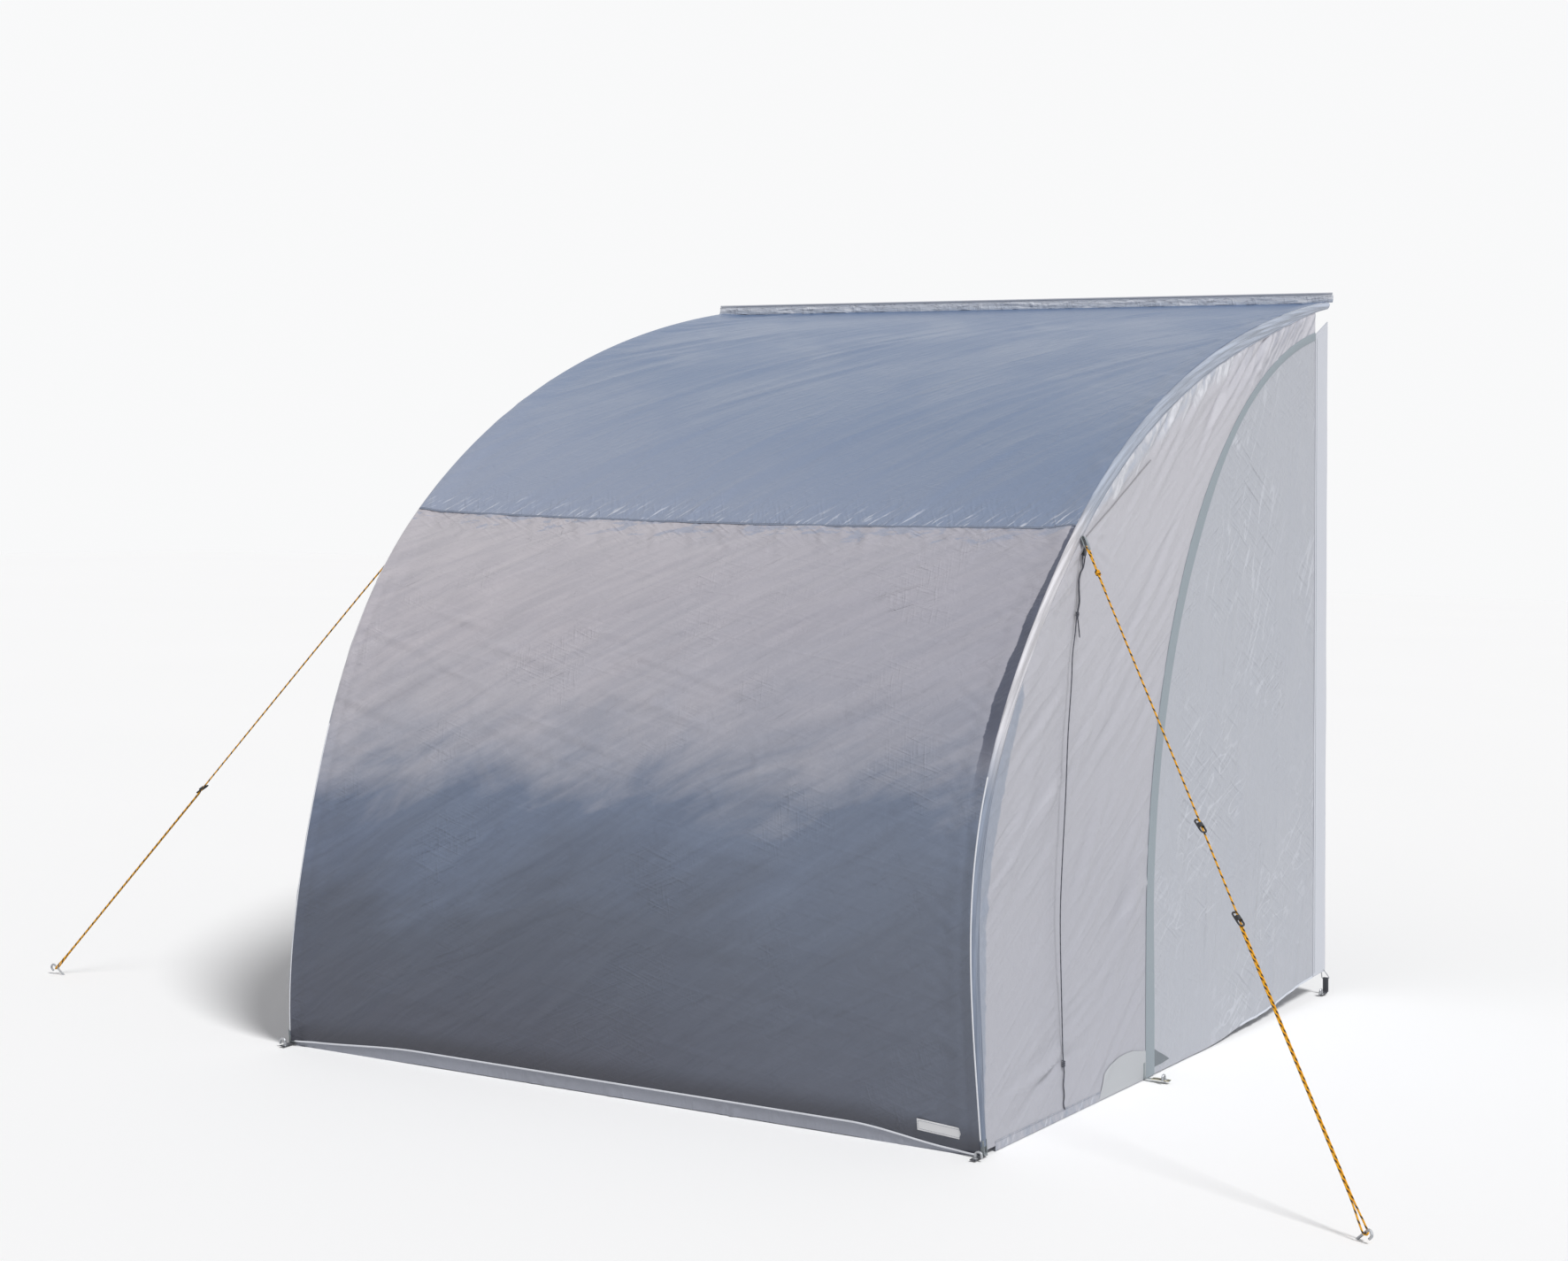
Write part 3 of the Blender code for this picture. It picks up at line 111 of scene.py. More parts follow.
def bezierNormal(points, share):
    share = np.asarray(share, float)[..., None]
    rest = 1.0 - share
    a, b, c, d = points
    way = (b - a) * rest**2 + (c - b) * 2 * rest * share + (d - c) * share**2
    way = way / np.linalg.norm(way, axis=-1, keepdims=True)
    return np.stack((-way[..., 1], way[..., 0]), -1)


def runningLengths(points):
    steps = np.linalg.norm(np.diff(points, axis=0), axis=1)
    return np.concatenate(([0.0], np.cumsum(steps)))


def resample(points, step):
    ways = runningLengths(points)
    wanted = np.linspace(0.0, ways[-1], max(2, round(ways[-1] / step) + 1))
    return np.stack([np.interp(wanted, ways, points[:, axis]) for axis in range(points.shape[1])], 1)


startSlope, footSlope = math.radians(poleShape["startSlope"]), math.radians(poleShape["footSlope"])
startReach, footReach = poleShape["startReach"], poleShape["footReach"]
poleCurve = np.array((
    (0.0, poleShape["top"]),
    (startReach * math.cos(startSlope), poleShape["top"] - startReach * math.sin(startSlope)),
    (tent["depth"] + footReach * math.cos(footSlope), footReach * math.sin(footSlope)),
    (tent["depth"], 0.0),
))
poleShares = np.linspace(0.0, 1.0, 1201)
poleWays = runningLengths(bezier(poleCurve, poleShares))
poleLength = poleWays[-1]


def poleAt(distance):
    # The pole's middle, its normal and how far it leans inboard, at a distance along it
    share = np.interp(distance, poleWays, poleShares)
    centre = bezier(poleCurve, share)
    height = np.clip(centre[..., 1] / tent["seamHeight"], 0.0, 1.0)
    return centre, bezierNormal(poleCurve, share), tent["waist"] * np.sin(np.pi * height) ** 2


def atHeight(height):
    # The distance along the pole at which it has this height
    return np.interp(height, bezier(poleCurve, poleShares)[::-1, 1], poleWays[::-1])


seamWay, hemWay = atHeight(tent["seamHeight"]), atHeight(tent["hemHeight"])
frontWidth, frontLength = 2 * tent["frontHalf"], hemWay - seamWay


def sheetAt(distance, across, lift, edge=0.0):
    # A point of the roof and front: its share of the way across, and its lift off the poles' middles
    centre, normal, inboard = poleAt(distance)
    spot = centre + normal * np.asarray(lift, float)[..., None]
    left = sidePoint(-1, spot[..., 0], spot[..., 1], inboard + edge)
    right = sidePoint(1, spot[..., 0], spot[..., 1], inboard + edge)
    along, up = sideFrames[1][1], sideFrames[1][2]
    inward = -(normal[..., :1] * along + normal[..., 1:] * up) * (0.0, 1.0, 1.0)
    drop = tent["sheetSag"] * np.sin(np.pi * np.asarray(distance) / poleLength) * 4 * across * (1 - across)
    return left + (right - left) * across[..., None] + inward * drop[..., None]


def smoothStep(value, low, high):
    # From nought at low to one at high
    share = np.clip((value - low) / (high - low), 0.0, 1.0)
    return share * share * (3 - 2 * share)


def overPole(across):
    # The cloth lies over the poles at its edges, and close to their middles elsewhere
    rim = np.minimum(across, 1 - across) * 2 * tent["frontHalf"]
    return tent["sheetLift"] + tent["poleLift"] * (1 - smoothStep(rim, *tent["poleFade"]))


# Folds and creases, as heights over a cloth's own coordinates
def creaseHeights(x, y, lines):
    # Each line is a ridge with a shallow trough along one flank
    total = np.zeros_like(x)
    for startX, startY, angle, length, width, height in lines:
        cosine, sine = math.cos(angle), math.sin(angle)
        along = (x - startX) * cosine + (y - startY) * sine
        across = (y - startY) * cosine - (x - startX) * sine
        near = (np.abs(across) < 4.5 * width) & (np.abs(along) < 0.8 * length)
        a, b = along[near] / (length * 0.5), across[near] / width
        total[near] += height * np.exp(-a**4) * (np.exp(-b * b) - 0.5 * np.exp(-((b - 1.7) ** 2) / 1.6))
    return total


def scatterLines(draw, count, x, y, angle, length, width, height):
    made = []
    for _ in range(count):
        made.append((
            draw.uniform(*x),
            draw.uniform(*y),
            math.radians(draw.uniform(*angle)),
            draw.uniform(*length),
            draw.uniform(*width),
            draw.uniform(*height),
        ))
    return made


def creaseFrom(x, y, lean, reach, share):
    # A crease that starts near a point, with its middle this share of its length away
    return x + reach * share * math.cos(lean), y + reach * share * math.sin(lean), lean, reach


def swell(x, y, waves, height):
    # Broad soft waves over a whole cloth
    total = np.zeros_like(x)
    for angle, size, phase in waves:
        total += np.sin((x * math.cos(angle) + y * math.sin(angle)) * 2 * math.pi / size + phase)
    return total * height / len(waves)


def drawWaves(draw, count, size):
    made = []
    for _ in range(count):
        made.append((draw.uniform(0, math.pi), draw.uniform(*size), draw.uniform(0, 2 * math.pi)))
    return made


def farFrom(x, y, line):
    # How far points are from a line of points
    spot = np.stack((x, y), 1)
    return np.min(np.linalg.norm(spot[:, None] - np.asarray(line)[None], axis=2), axis=1)


# Shader maths
class Link:
    def __init__(self, tree, socket):
        self.tree = tree
        self.socket = socket

    def math(self, operation, first, second):
        made = self.tree.nodes.new("ShaderNodeMath")
        made.operation = operation
        for socket, value in zip(made.inputs, (first, second)):
            if isinstance(value, Link):
                self.tree.links.new(value.socket, socket)
            else:
                socket.default_value = value
        return Link(self.tree, made.outputs[0])

    def __add__(self, other):
        return self.math("ADD", self, other)

    def __radd__(self, other):
        return self.math("ADD", other, self)

    def __sub__(self, other):
        return self.math("SUBTRACT", self, other)

    def __rsub__(self, other):
        return self.math("SUBTRACT", other, self)

    def __mul__(self, other):
        return self.math("MULTIPLY", self, other)

    def __rmul__(self, other):
        return self.math("MULTIPLY", other, self)

    def __truediv__(self, other):
        return self.math("DIVIDE", self, other)

    def __pow__(self, other):
        return self.math("POWER", self, other)


class Finish:
    def __init__(self, name, color, roughness, metallic=0.0):
        self.material = bpy.data.materials.new(name)
        self.material.use_nodes = True
        self.tree = self.material.node_tree
        self.shader = self.tree.nodes["Principled BSDF"]
        self.shader.inputs["Base Color"].default_value = (*color, 1.0)
        self.shader.inputs["Roughness"].default_value = roughness
        self.shader.inputs["Metallic"].default_value = metallic

    def node(self, kind, settings=None, inputs=None, output=0):
        made = self.tree.nodes.new(kind)
        for name, value in (settings or {}).items():
            if name == "stops":
                ramp = made.color_ramp
                while len(ramp.elements) < len(value):
                    ramp.elements.new(0.5)
                for element, (place, shade) in zip(ramp.elements, value):
                    element.position = place
                    element.color = (*shade, 1.0)
            else:
                setattr(made, name, value)
        for key, value in (inputs or {}).items():
            if isinstance(value, Link):
                self.tree.links.new(value.socket, made.inputs[key])
            else:
                made.inputs[key].default_value = value
        return Link(self.tree, made.outputs[output])

    def place(self, kind="UV"):
        return self.node("ShaderNodeTexCoord", output=("Generated", "Normal", "UV", "Object").index(kind))

    def turned(self, vector, size, angle):
        # Pattern cells of this size, in metres, turned by an angle
        values = {"Vector": vector, "Scale": (*size, 1.0), "Rotation": (0.0, 0.0, math.radians(angle))}
        return self.node("ShaderNodeMapping", {"vector_type": "TEXTURE"}, values)

    def creases(self, angle, size):
        # Sharp ridges of cloth that run at an angle
        cells = self.turned(self.uv, size, angle)
        values = {"Vector": cells, "Scale": 1.0, "Detail": 2.0, "Distortion": 0.35}
        return self.node("ShaderNodeTexNoise", {"noise_type": "RIDGED_MULTIFRACTAL"}, values)

    def patches(self, size, angle, detail, roughness, distortion=0.0):
        # Soft patches of this size, in metres, that run at an angle
        return self.noise(self.turned(self.uv, size, angle), 1.0, detail, roughness, distortion)

    def noise(self, vector, scale, detail=2.0, roughness=0.5, distortion=0.0):
        values = {
            "Vector": vector,
            "Scale": scale,
            "Detail": detail,
            "Roughness": roughness,
            "Distortion": distortion,
        }
        return self.node("ShaderNodeTexNoise", None, values)

    def axis(self, vector, number):
        return self.node("ShaderNodeSeparateXYZ", None, {0: vector}, number)

    def step(self, value, low, high, start=0.0, end=1.0):
        inputs = {0: value, 1: low, 2: high, 3: start, 4: end}
        return self.node("ShaderNodeMapRange", {"interpolation_type": "SMOOTHSTEP"}, inputs)

    def mix(self, factor, first, second, blend="MIX"):
        shades = [value if isinstance(value, Link) else (*value, 1.0) for value in (first, second)]
        settings = {"data_type": "RGBA", "blend_type": blend}
        return self.node("ShaderNodeMix", settings, {0: factor, 6: shades[0], 7: shades[1]}, 2)

    def bump(self, height, distance, strength, under=None):
        inputs = {"Height": height, "Distance": distance, "Strength": strength}
        if under is not None:
            inputs["Normal"] = under
        return self.node("ShaderNodeBump", None, inputs)

    def put(self, socket, value):
        self.tree.links.new(value.socket, self.shader.inputs[socket])


def tint(red, green, blue):
    made = []
    for value in (red, green, blue):
        value = value / 255
        made.append(value / 12.92 if value <= 0.04045 else ((value + 0.055) / 1.055) ** 2.4)
    return tuple(made)


def shade(color, factor):
    return tuple(min(1.0, value * factor) for value in color)


clothLook = {
    "grain": 620.0,
    "weave": 1150.0,
    "mottle": 3.2,
    "rumple": 26.0,
    "foldDepth": 0.0075,
    "threadDepth": 0.00016,
}


def clothFinish(name, color, roughness, folds, mottled, depth):
    # Folds are given as (angle, length, width, share of the depth)
    finish = Finish(name, color, roughness)
    finish.uv = finish.place()
    broad = finish.noise(finish.uv, clothLook["mottle"], 3.0, 0.55, 0.6)
    grain = finish.noise(finish.uv, clothLook["grain"], 1.0)
    drawn = finish.noise(finish.uv, clothLook["rumple"], 4.0, 0.6, 0.8) * 0.3
    for angle, length, width, share in folds:
        drawn = drawn + finish.creases(angle, (length, width)) * share
    tone = (broad - 0.5) * mottled + (grain - 0.5) * 0.10
    finish.tone = finish.step(tone, -0.25, 0.25)
    finish.look = finish.mix(finish.tone, shade(color, 0.86), shade(color, 1.14))
    finish.put("Base Color", finish.look)
    finish.put("Roughness", finish.step(broad, 0.25, 0.75, roughness - 0.07, roughness + 0.09))
    weave = {"Vector": finish.uv, "Scale": clothLook["weave"]}
    threads = finish.node("ShaderNodeTexChecker", None, weave, 1)
    finish.relief = finish.bump(drawn, clothLook["foldDepth"] * depth, 0.8)
    threads = finish.bump(threads * 0.5 + grain, clothLook["threadDepth"], 0.5, finish.relief)
    finish.put("Normal", threads)
    return finish


def puckers(finish, where, angle, size, depth, crinkles):
    # Short gathers beside a seam, and patches of fine crinkles, on top of the cloth's own folds
    gathers = finish.creases(angle, size) + finish.creases(-angle, size) * 0.7
    under = finish.bump(gathers * where, depth, 0.9, finish.relief)
    fine = finish.creases(-24.0, (0.15, 0.010)) + finish.creases(17.0, (0.12, 0.008)) * 0.6
    fine = fine + finish.creases(76.0, (0.07, 0.007)) * 0.5
    patch = finish.step(finish.noise(finish.uv, 3.4, 2.0), 0.50, 0.64)
    finish.put("Normal", finish.bump(fine * patch, crinkles, 0.9, under))


def dressRoof(finish):
    # Painted shade: bluer and darker towards the rail. Painted sheen: lighter towards the seam and the
    # left. Painted highlights: pale streaks above the felled seam
    down = finish.axis(finish.uv, 1)
    puckers(finish, finish.step(down, seamWay - 0.17, seamWay), -62.0, (0.08, 0.012), 0.0034, 0.0010)
    across = finish.axis(finish.uv, 0)
    # painted sheen, lighter towards the seam and the left
    paintedSheen = finish.step(down - across * 0.35, seamWay * 0.40, seamWay * 1.02)
    look = finish.mix(paintedSheen * 0.7, finish.look, tint(154, 160, 176))
    # painted shade, bluer and darker towards the rail
    tone = finish.mix(finish.step(down, 0.15, 1.15), (0.765, 0.825, 0.908), (0.95, 0.96, 0.985))
    look = finish.mix(1.0, look, tone, "MULTIPLY")
    # painted highlights: pale streaks just above the felled seam
    streaks = finish.step(finish.patches((0.075, 0.0085), -52.0, 3.0, 0.55), 0.55, 0.70)
    near = finish.step(down, seamWay - 0.115, seamWay - 0.02) ** 2.0
    finish.put("Base Color", finish.mix(streaks * near * 0.85, look, tint(204, 208, 218)))


def dressFront(finish):
    # Painted shade: pale above and dark below with a cloudy border between, greyer high on the right,
    # blue-grey low on the right, darker low on the left, and dark in a gutter beside the right sleeve.
    # Painted sheen in soft streaks, and painted blue-grey shadows under the felled seam
    across, down = finish.axis(finish.uv, 0), finish.axis(finish.uv, 1)
    # the cloudy border of the painted shade
    shadeBorder = finish.patches((0.55, 0.20), -24.0, 5.0, 0.62, 0.6)
    fine = finish.patches((0.30, 0.045), -27.0, 4.0, 0.6, 0.4)
    left = finish.step(across, 0.0, 0.75, 0.045, 0.0)
    place = down + (shadeBorder - 0.5) * 0.50 + (fine - 0.5) * 0.16 + across * 0.05 - 0.07 - left
    stops = [
        (0.00, tint(179, 175, 181)),
        (0.20, tint(176, 172, 179)),
        (0.34, tint(171, 169, 177)),
        (0.44, tint(152, 154, 166)),
        (0.54, tint(107, 118, 139)),
        (0.72, tint(90, 97, 112)),
        (1.00, tint(82, 85, 98)),
    ]
    look = finish.node("ShaderNodeValToRGB", {"stops": stops}, {0: place / frontLength})
    # painted sheen: soft lighter and darker streaks
    sheen = finish.patches((0.26, 0.030), -34.0, 4.0, 0.6, 0.4)
    tone = finish.mix(finish.tone, (0.88, 0.88, 0.88), (1.12, 1.12, 1.12))
    look = finish.mix(1.0, look, tone, "MULTIPLY")
    tone = finish.mix(finish.step(sheen, 0.30, 0.70), (0.925, 0.93, 0.94), (1.075, 1.07, 1.06))
    look = finish.mix(1.0, look, tone, "MULTIPLY")
    # painted shade: greyer high on the right
    shady = finish.step(across, 0.2, frontWidth, 0.0, 0.5) * finish.step(down, 0.75, 0.45)
    look = finish.mix(shady, look, tint(150, 152, 166))
    # painted shade: blue-grey low on the right
    light = finish.step(across, 0.5, frontWidth, 0.0, 0.4) * finish.step(down, 0.55, 0.85)
    look = finish.mix(light, look, tint(118, 126, 142))
    # painted shade in a gutter beside the right sleeve
    spread = finish.step(down, 0.0, 0.50, 0.010, 0.034) + (fine - 0.5) * 0.016
    sharp = (across - frontWidth + spread) * 420.0
    gutter = finish.node("ShaderNodeClamp", None, {0: sharp}) * finish.step(down, 0.74, 0.54)
    look = finish.mix(gutter, look, tint(82, 86, 102))
    # painted shade: darker low on the left
    dim = finish.step(across, 0.45, 0.0) * finish.step(down, 0.72, 0.95)
    look = finish.mix(dim, look, finish.mix(1.0, look, (0.90, 0.89, 0.90), "MULTIPLY"))
    hem = finish.step(down, frontLength - 0.072, frontLength - 0.008)
    look = finish.mix(hem * 0.7, look, tint(60, 60, 68))
    # painted blue-grey shadows with ragged lower edges, hanging under the felled seam
    seamShadows = finish.patches((0.11, 0.035), -14.0, 5.0, 0.68, 0.9)
    reach = finish.step(seamShadows, 0.42, 0.66, -0.012, 0.062)
    seamShadows = finish.step(down - reach, 0.006, -0.006)
    finish.put("Base Color", finish.mix(seamShadows * 0.62, look, tint(146, 154, 174)))
    puckers(finish, finish.step(down, 0.13, 0.0), 30.0, (0.07, 0.014), 0.0044, 0.0034)


def dressSide(finish):
    # The cloth beside the sleeve is doubled and looks bluer, down to a ragged line of stitches. Painted
    # shade darkens the side towards the ground, painted shade and highlights run along the pleats of the
    # top corner, and a painted silvery sheen with shade lies on the crumpled cloth high beside the sleeve
    depth = finish.node("ShaderNodeAttribute", {"attribute_name": "doubled"}, None, 2)
    ragged = finish.patches((0.05, 0.02), 60.0, 4.0, 0.6) - 0.5
    blue = finish.step(depth + ragged * 0.022, -0.003, 0.005)
    streaks = finish.creases(-70.0, (0.16, 0.016)) * 0.3 + 0.52
    away, height = finish.axis(finish.uv, 0), finish.axis(finish.uv, 1)
    # painted shade: darker towards the ground, lighter up high
    tone = finish.mix(finish.step(height, 0.2, 1.55), (0.90, 0.91, 0.93), (1.075, 1.065, 1.06))
    look = finish.mix(1.0, finish.look, tone, "MULTIPLY")
    # painted shade and highlights along the pleats in the top corner
    pleatShading = finish.step(finish.patches((0.34, 0.013), -43.0, 3.0, 0.5), 0.36, 0.66)
    corner = finish.step(height - away * 0.55, 1.18, 1.66)
    tone = finish.mix(pleatShading, (0.76, 0.78, 0.82), (1.16, 1.16, 1.16))
    look = finish.mix(corner, look, finish.mix(1.0, look, tone, "MULTIPLY"))
    # painted silvery sheen and shade on the crumpled cloth high beside the sleeve
    crumpled = finish.node("ShaderNodeAttribute", {"attribute_name": "crumpled"}, None, 2)
    facets = finish.patches((0.10, 0.022), -54.0, 4.0, 0.6, 0.8)
    crumpled = finish.step(crumpled + (facets - 0.5) * 0.10, 0.0, 0.022)
    stops = [
        (0.0, tint(140, 152, 172)),
        (0.42, tint(160, 170, 186)),
        (0.52, tint(186, 189, 196)),
        (0.62, tint(222, 224, 230)),
    ]
    crinkleSheen = finish.node("ShaderNodeValToRGB", {"stops": stops}, {0: facets})
    look = finish.mix(crumpled * 0.55, look, crinkleSheen)
    finish.put("Base Color", finish.mix(blue * streaks, look, tint(118, 132, 152)))


def dressDoor(finish):
    # Painted highlights: thin pale creases that run down towards the zip below, and more steeply above
    patches = finish.step(finish.noise(finish.uv, 2.4, 2.0), 0.40, 0.60)
    puckers(finish, patches, 29.0, (0.14, 0.012), 0.0040, 0.0020)
    low = finish.step(finish.axis(finish.uv, 1), 1.05, 0.85)
    lower = finish.patches((0.26, 0.055), -29.0, 2.0, 0.5, 0.3)
    upper = finish.patches((0.50, 0.060), -60.0, 2.0, 0.5, 0.2)
    lines = finish.step((lower - 0.5) ** 2.0, 0.0, 0.0004, 1.0, 0.0) * low
    lines = lines + finish.step((upper - 0.5) ** 2.0, 0.0, 0.0004, 1.0, 0.0) * (1.0 - low)
    # painted highlights along the creases
    finish.put("Base Color", finish.mix(lines * patches * 0.42, finish.look, tint(200, 203, 211)))


def dressBand(finish):
    # Painted light: brightest along the rail and darker lower down, with painted highlights and painted
    # shade along its wrinkles
    low = finish.step(finish.axis(finish.uv, 1), 0.003, 0.019)
    tone = finish.mix(low, (1.26, 1.25, 1.22), (0.50, 0.54, 0.60))
    look = finish.mix(1.0, finish.look, tone, "MULTIPLY")
    # painted highlights on the wrinkles' crests, and painted shade in thin lines between them
    wrinkles = finish.patches((0.085, 0.0065), 5.0, 3.0, 0.6, 0.6)
    look = finish.mix(finish.step(wrinkles, 0.54, 0.66) * 0.5, look, tint(240, 240, 242))
    dark = finish.step((wrinkles - 0.46) ** 2.0, 0.0, 0.0008, 1.0, 0.0)
    finish.put("Base Color", finish.mix(dark * 0.55, look, tint(98, 102, 116)))


def dressSleeve(finish):
    # The sleeve is brightest where it faces the open sky, between the felled seam and knee height
    along = finish.axis(finish.uv, 1)
    streaks = finish.patches((0.25, 0.010), 86.0, 4.0, 0.6, 0.3)
    stops = [
        (0.0, tint(164, 172, 187)),
        (seamWay / poleLength - 0.03, tint(160, 168, 183)),
        (seamWay / poleLength + 0.01, tint(205, 203, 208)),
        (atHeight(0.90) / poleLength, tint(203, 202, 208)),
        (atHeight(0.76) / poleLength, tint(130, 139, 156)),
        (1.0, tint(104, 114, 132)),
    ]
    look = finish.node("ShaderNodeValToRGB", {"stops": stops}, {0: along / poleLength})
    # painted highlights and shade in streaks along the sleeve
    tone = finish.mix(finish.step(streaks, 0.35, 0.65), (0.78, 0.78, 0.78), (1.16, 1.16, 1.16))
    finish.put("Base Color", finish.mix(1.0, look, tone, "MULTIPLY"))


def plainFinish(name, color, roughness, metallic=0.0, scale=90.0, spread=0.12, relief=0.0002):
    finish = Finish(name, color, roughness, metallic)
    spot = finish.place("Object")
    broad = finish.noise(spot, scale, 4.0, 0.6)
    finish.put("Base Color", finish.mix(broad, shade(color, 1 - spread), shade(color, 1 + spread)))
    finish.put("Roughness", finish.step(broad, 0.3, 0.7, roughness - 0.08, roughness + 0.10))
    finish.put("Normal", finish.bump(finish.noise(spot, scale * 5, 3.0), relief, 0.4))
    return finish


webLook = {"ribs": 4200.0, "picks": 3600.0, "grain": 1400.0, "depth": 0.00035}
ropeLook = {"braid": 1450.0, "flecks": 300.0, "depth": 0.0005}


def webFinish(name, color, edgeColor=None, edge=0.0):
    # A ribbed webbing on UV in metres: X across, Y along
    finish = Finish(name, color, 0.82)
    uv = finish.place()
    across, along = finish.axis(uv, 0), finish.axis(uv, 1)
    ribs = finish.node("ShaderNodeMath", {"operation": "SINE"}, {0: across * webLook["ribs"]})
    turns = along * webLook["picks"] + ribs * 1.4
    picks = finish.node("ShaderNodeMath", {"operation": "SINE"}, {0: turns})
    grain = finish.noise(uv, webLook["grain"], 2.0)
    look = finish.mix(grain * 0.7 + picks * 0.12, shade(color, 0.62), shade(color, 1.30))
    if edgeColor:
        rim = finish.step((across - edge) ** 2.0, (edge * 0.50) ** 2, (edge * 0.66) ** 2)
        look = finish.mix(rim, look, edgeColor)
    finish.put("Base Color", look)
    finish.put("Normal", finish.bump(picks * 0.5 + ribs * 0.5 + grain, webLook["depth"], 0.7))
    return finish


def ropeFinish(name, color, fleck, fleckShare, girth):
    # Braided cord on UV in metres: X round it, Y along
    finish = Finish(name, color, 0.70)
    uv = finish.place()
    around = finish.axis(uv, 0) * (2 * math.pi / girth)
    along = finish.axis(uv, 1) * ropeLook["braid"]
    first = finish.node("ShaderNodeMath", {"operation": "SINE"}, {0: around * 4.0 + along})
    second = finish.node("ShaderNodeMath", {"operation": "SINE"}, {0: around * 4.0 - along})
    braid = finish.node("ShaderNodeMath", {"operation": "MAXIMUM"}, {0: first, 1: second})
    spiral = around + finish.axis(uv, 1) * ropeLook["flecks"]
    spots = finish.node("ShaderNodeMath", {"operation": "SINE"}, {0: spiral})
    spots = finish.step(spots, 0.96 - fleckShare, 1.0 - fleckShare)
    look = finish.mix(braid * 0.3 + 0.5, shade(color, 0.72), shade(color, 1.18))
    finish.put("Base Color", finish.mix(spots, look, fleck))
    finish.put("Normal", finish.bump(braid, ropeLook["depth"], 0.8))
    return finish


roofFolds = ((-55.0, 0.42, 0.052, 0.5), (-48.0, 0.20, 0.024, 0.25), (-72.0, 0.14, 0.020, 0.16))
frontFolds = ((-29.0, 0.24, 0.030, 0.7), (-37.0, 0.10, 0.014, 0.35), (9.0, 0.30, 0.016, 0.16))
sideFolds = ((-37.0, 0.60, 0.040, 0.45), (-31.0, 0.24, 0.018, 0.25), (-80.0, 0.30, 0.030, 0.15))
doorFolds = ((-82.0, 0.40, 0.030, 0.45), (-66.0, 0.20, 0.022, 0.2), (28.0, 0.16, 0.020, 0.1))
sleeveFolds = ((88.0, 0.20, 0.004, 0.5),)
stripFolds = ((84.0, 0.2, 0.03, 0.2),)
bandFolds = ((70.0, 0.03, 0.008, 0.5),)
flapFolds = ((80.0, 0.05, 0.012, 0.5),)
ropeSize = {"guy": 0.002, "cord": 0.0014}
ropeGirth = {key: 2 * math.pi * radius for key, radius in ropeSize.items()}
finishes = {
    "roof": clothFinish("roof_polyester", tint(115, 130, 155), 0.40, roofFolds, 0.08, 1.2),
    "front": clothFinish("front_polyester", tint(181, 177, 182), 0.40, frontFolds, 0.12, 1.15),
    "side": clothFinish("side_polyester", tint(175, 175, 182), 0.44, sideFolds, 0.06, 1.3),
    "door": clothFinish("door_polyester", tint(170, 173, 181), 0.50, doorFolds, 0.06, 1.5),
    "sleeve": clothFinish("sleeve_polyester", tint(176, 182, 194), 0.48, sleeveFolds, 0.20, 0.5),
    "strip": clothFinish("strip_polyester", tint(194, 197, 205), 0.55, stripFolds, 0.05, 0.4),
    "storm": clothFinish("storm_flap_tape", tint(140, 150, 157), 0.60, (), 0.03, 0.1),
    "band": clothFinish("band_vinyl", tint(225, 228, 236), 0.42, bandFolds, 0.30, 0.6),
    "flap": clothFinish("flap_vinyl", tint(150, 153, 164), 0.42, flapFolds, 0.34, 0.6),
    # the door's rolled hem, painted pale as a highlight along it
    "hemHighlight": clothFinish("hem_highlight_tape", tint(206, 210, 219), 0.55, (), 0.06, 0.3),
    "patch": clothFinish("patch_polyester", tint(176, 179, 183), 0.62, (), 0.05, 0.3),
    "darkPatch": clothFinish("dark_patch_polyester", tint(112, 119, 125), 0.62, (), 0.05, 0.3),
    "seam": clothFinish("seam_tape", tint(126, 135, 154), 0.60, (), 0.10, 0.3),
    "guySeam": clothFinish("guy_seam_tape", tint(146, 145, 149), 0.60, (), 0.10, 0.3),
    "label": clothFinish("sewn_label", tint(226, 226, 228), 0.62, (), 0.03, 0.2),
    "piping": plainFinish("white_piping", tint(214, 216, 222), 0.45, 0.0, 60.0, 0.08),
    "thread": plainFinish("grey_thread", tint(126, 130, 142), 0.75, 0.0, 400.0, 0.20),
    "greyWeb": webFinish("grey_webbing", tint(160, 168, 172)),
    "darkWeb": webFinish("dark_webbing", tint(84, 86, 92)),
    "strapWeb": webFinish("strap_webbing", tint(92, 92, 92), tint(186, 180, 150), 0.009),
    "zipTape": webFinish("zip_tape", tint(140, 146, 152)),
    "zipCoil": plainFinish("zip_coil", tint(92, 96, 102), 0.42, 0.0, 200.0, 0.10),
    "zipMetal": plainFinish("zip_metal", tint(156, 157, 160), 0.34, 1.0, 240.0, 0.16),
    "glass": plainFinish("pole_fibreglass", tint(62, 64, 68), 0.34, 0.0, 40.0, 0.18),
    "steel": plainFinish("galvanised_steel", tint(176, 178, 182), 0.36, 1.0, 160.0, 0.16, 0.0003),
    "plastic": plainFinish("black_plastic", tint(30, 31, 34), 0.40, 0.0, 120.0, 0.25),
    "guy": ropeFinish("guy_rope", tint(255, 172, 0), tint(46, 32, 8), 0.46, ropeGirth["guy"]),
    "cord": ropeFinish("dark_cord", tint(92, 94, 104), tint(62, 64, 72), 0.30, ropeGirth["cord"]),
}
dressRoof(finishes["roof"])
dressFront(finishes["front"])
dressSide(finishes["side"])
dressDoor(finishes["door"])
dressBand(finishes["band"])
dressSleeve(finishes["sleeve"])
print("finishes ready")


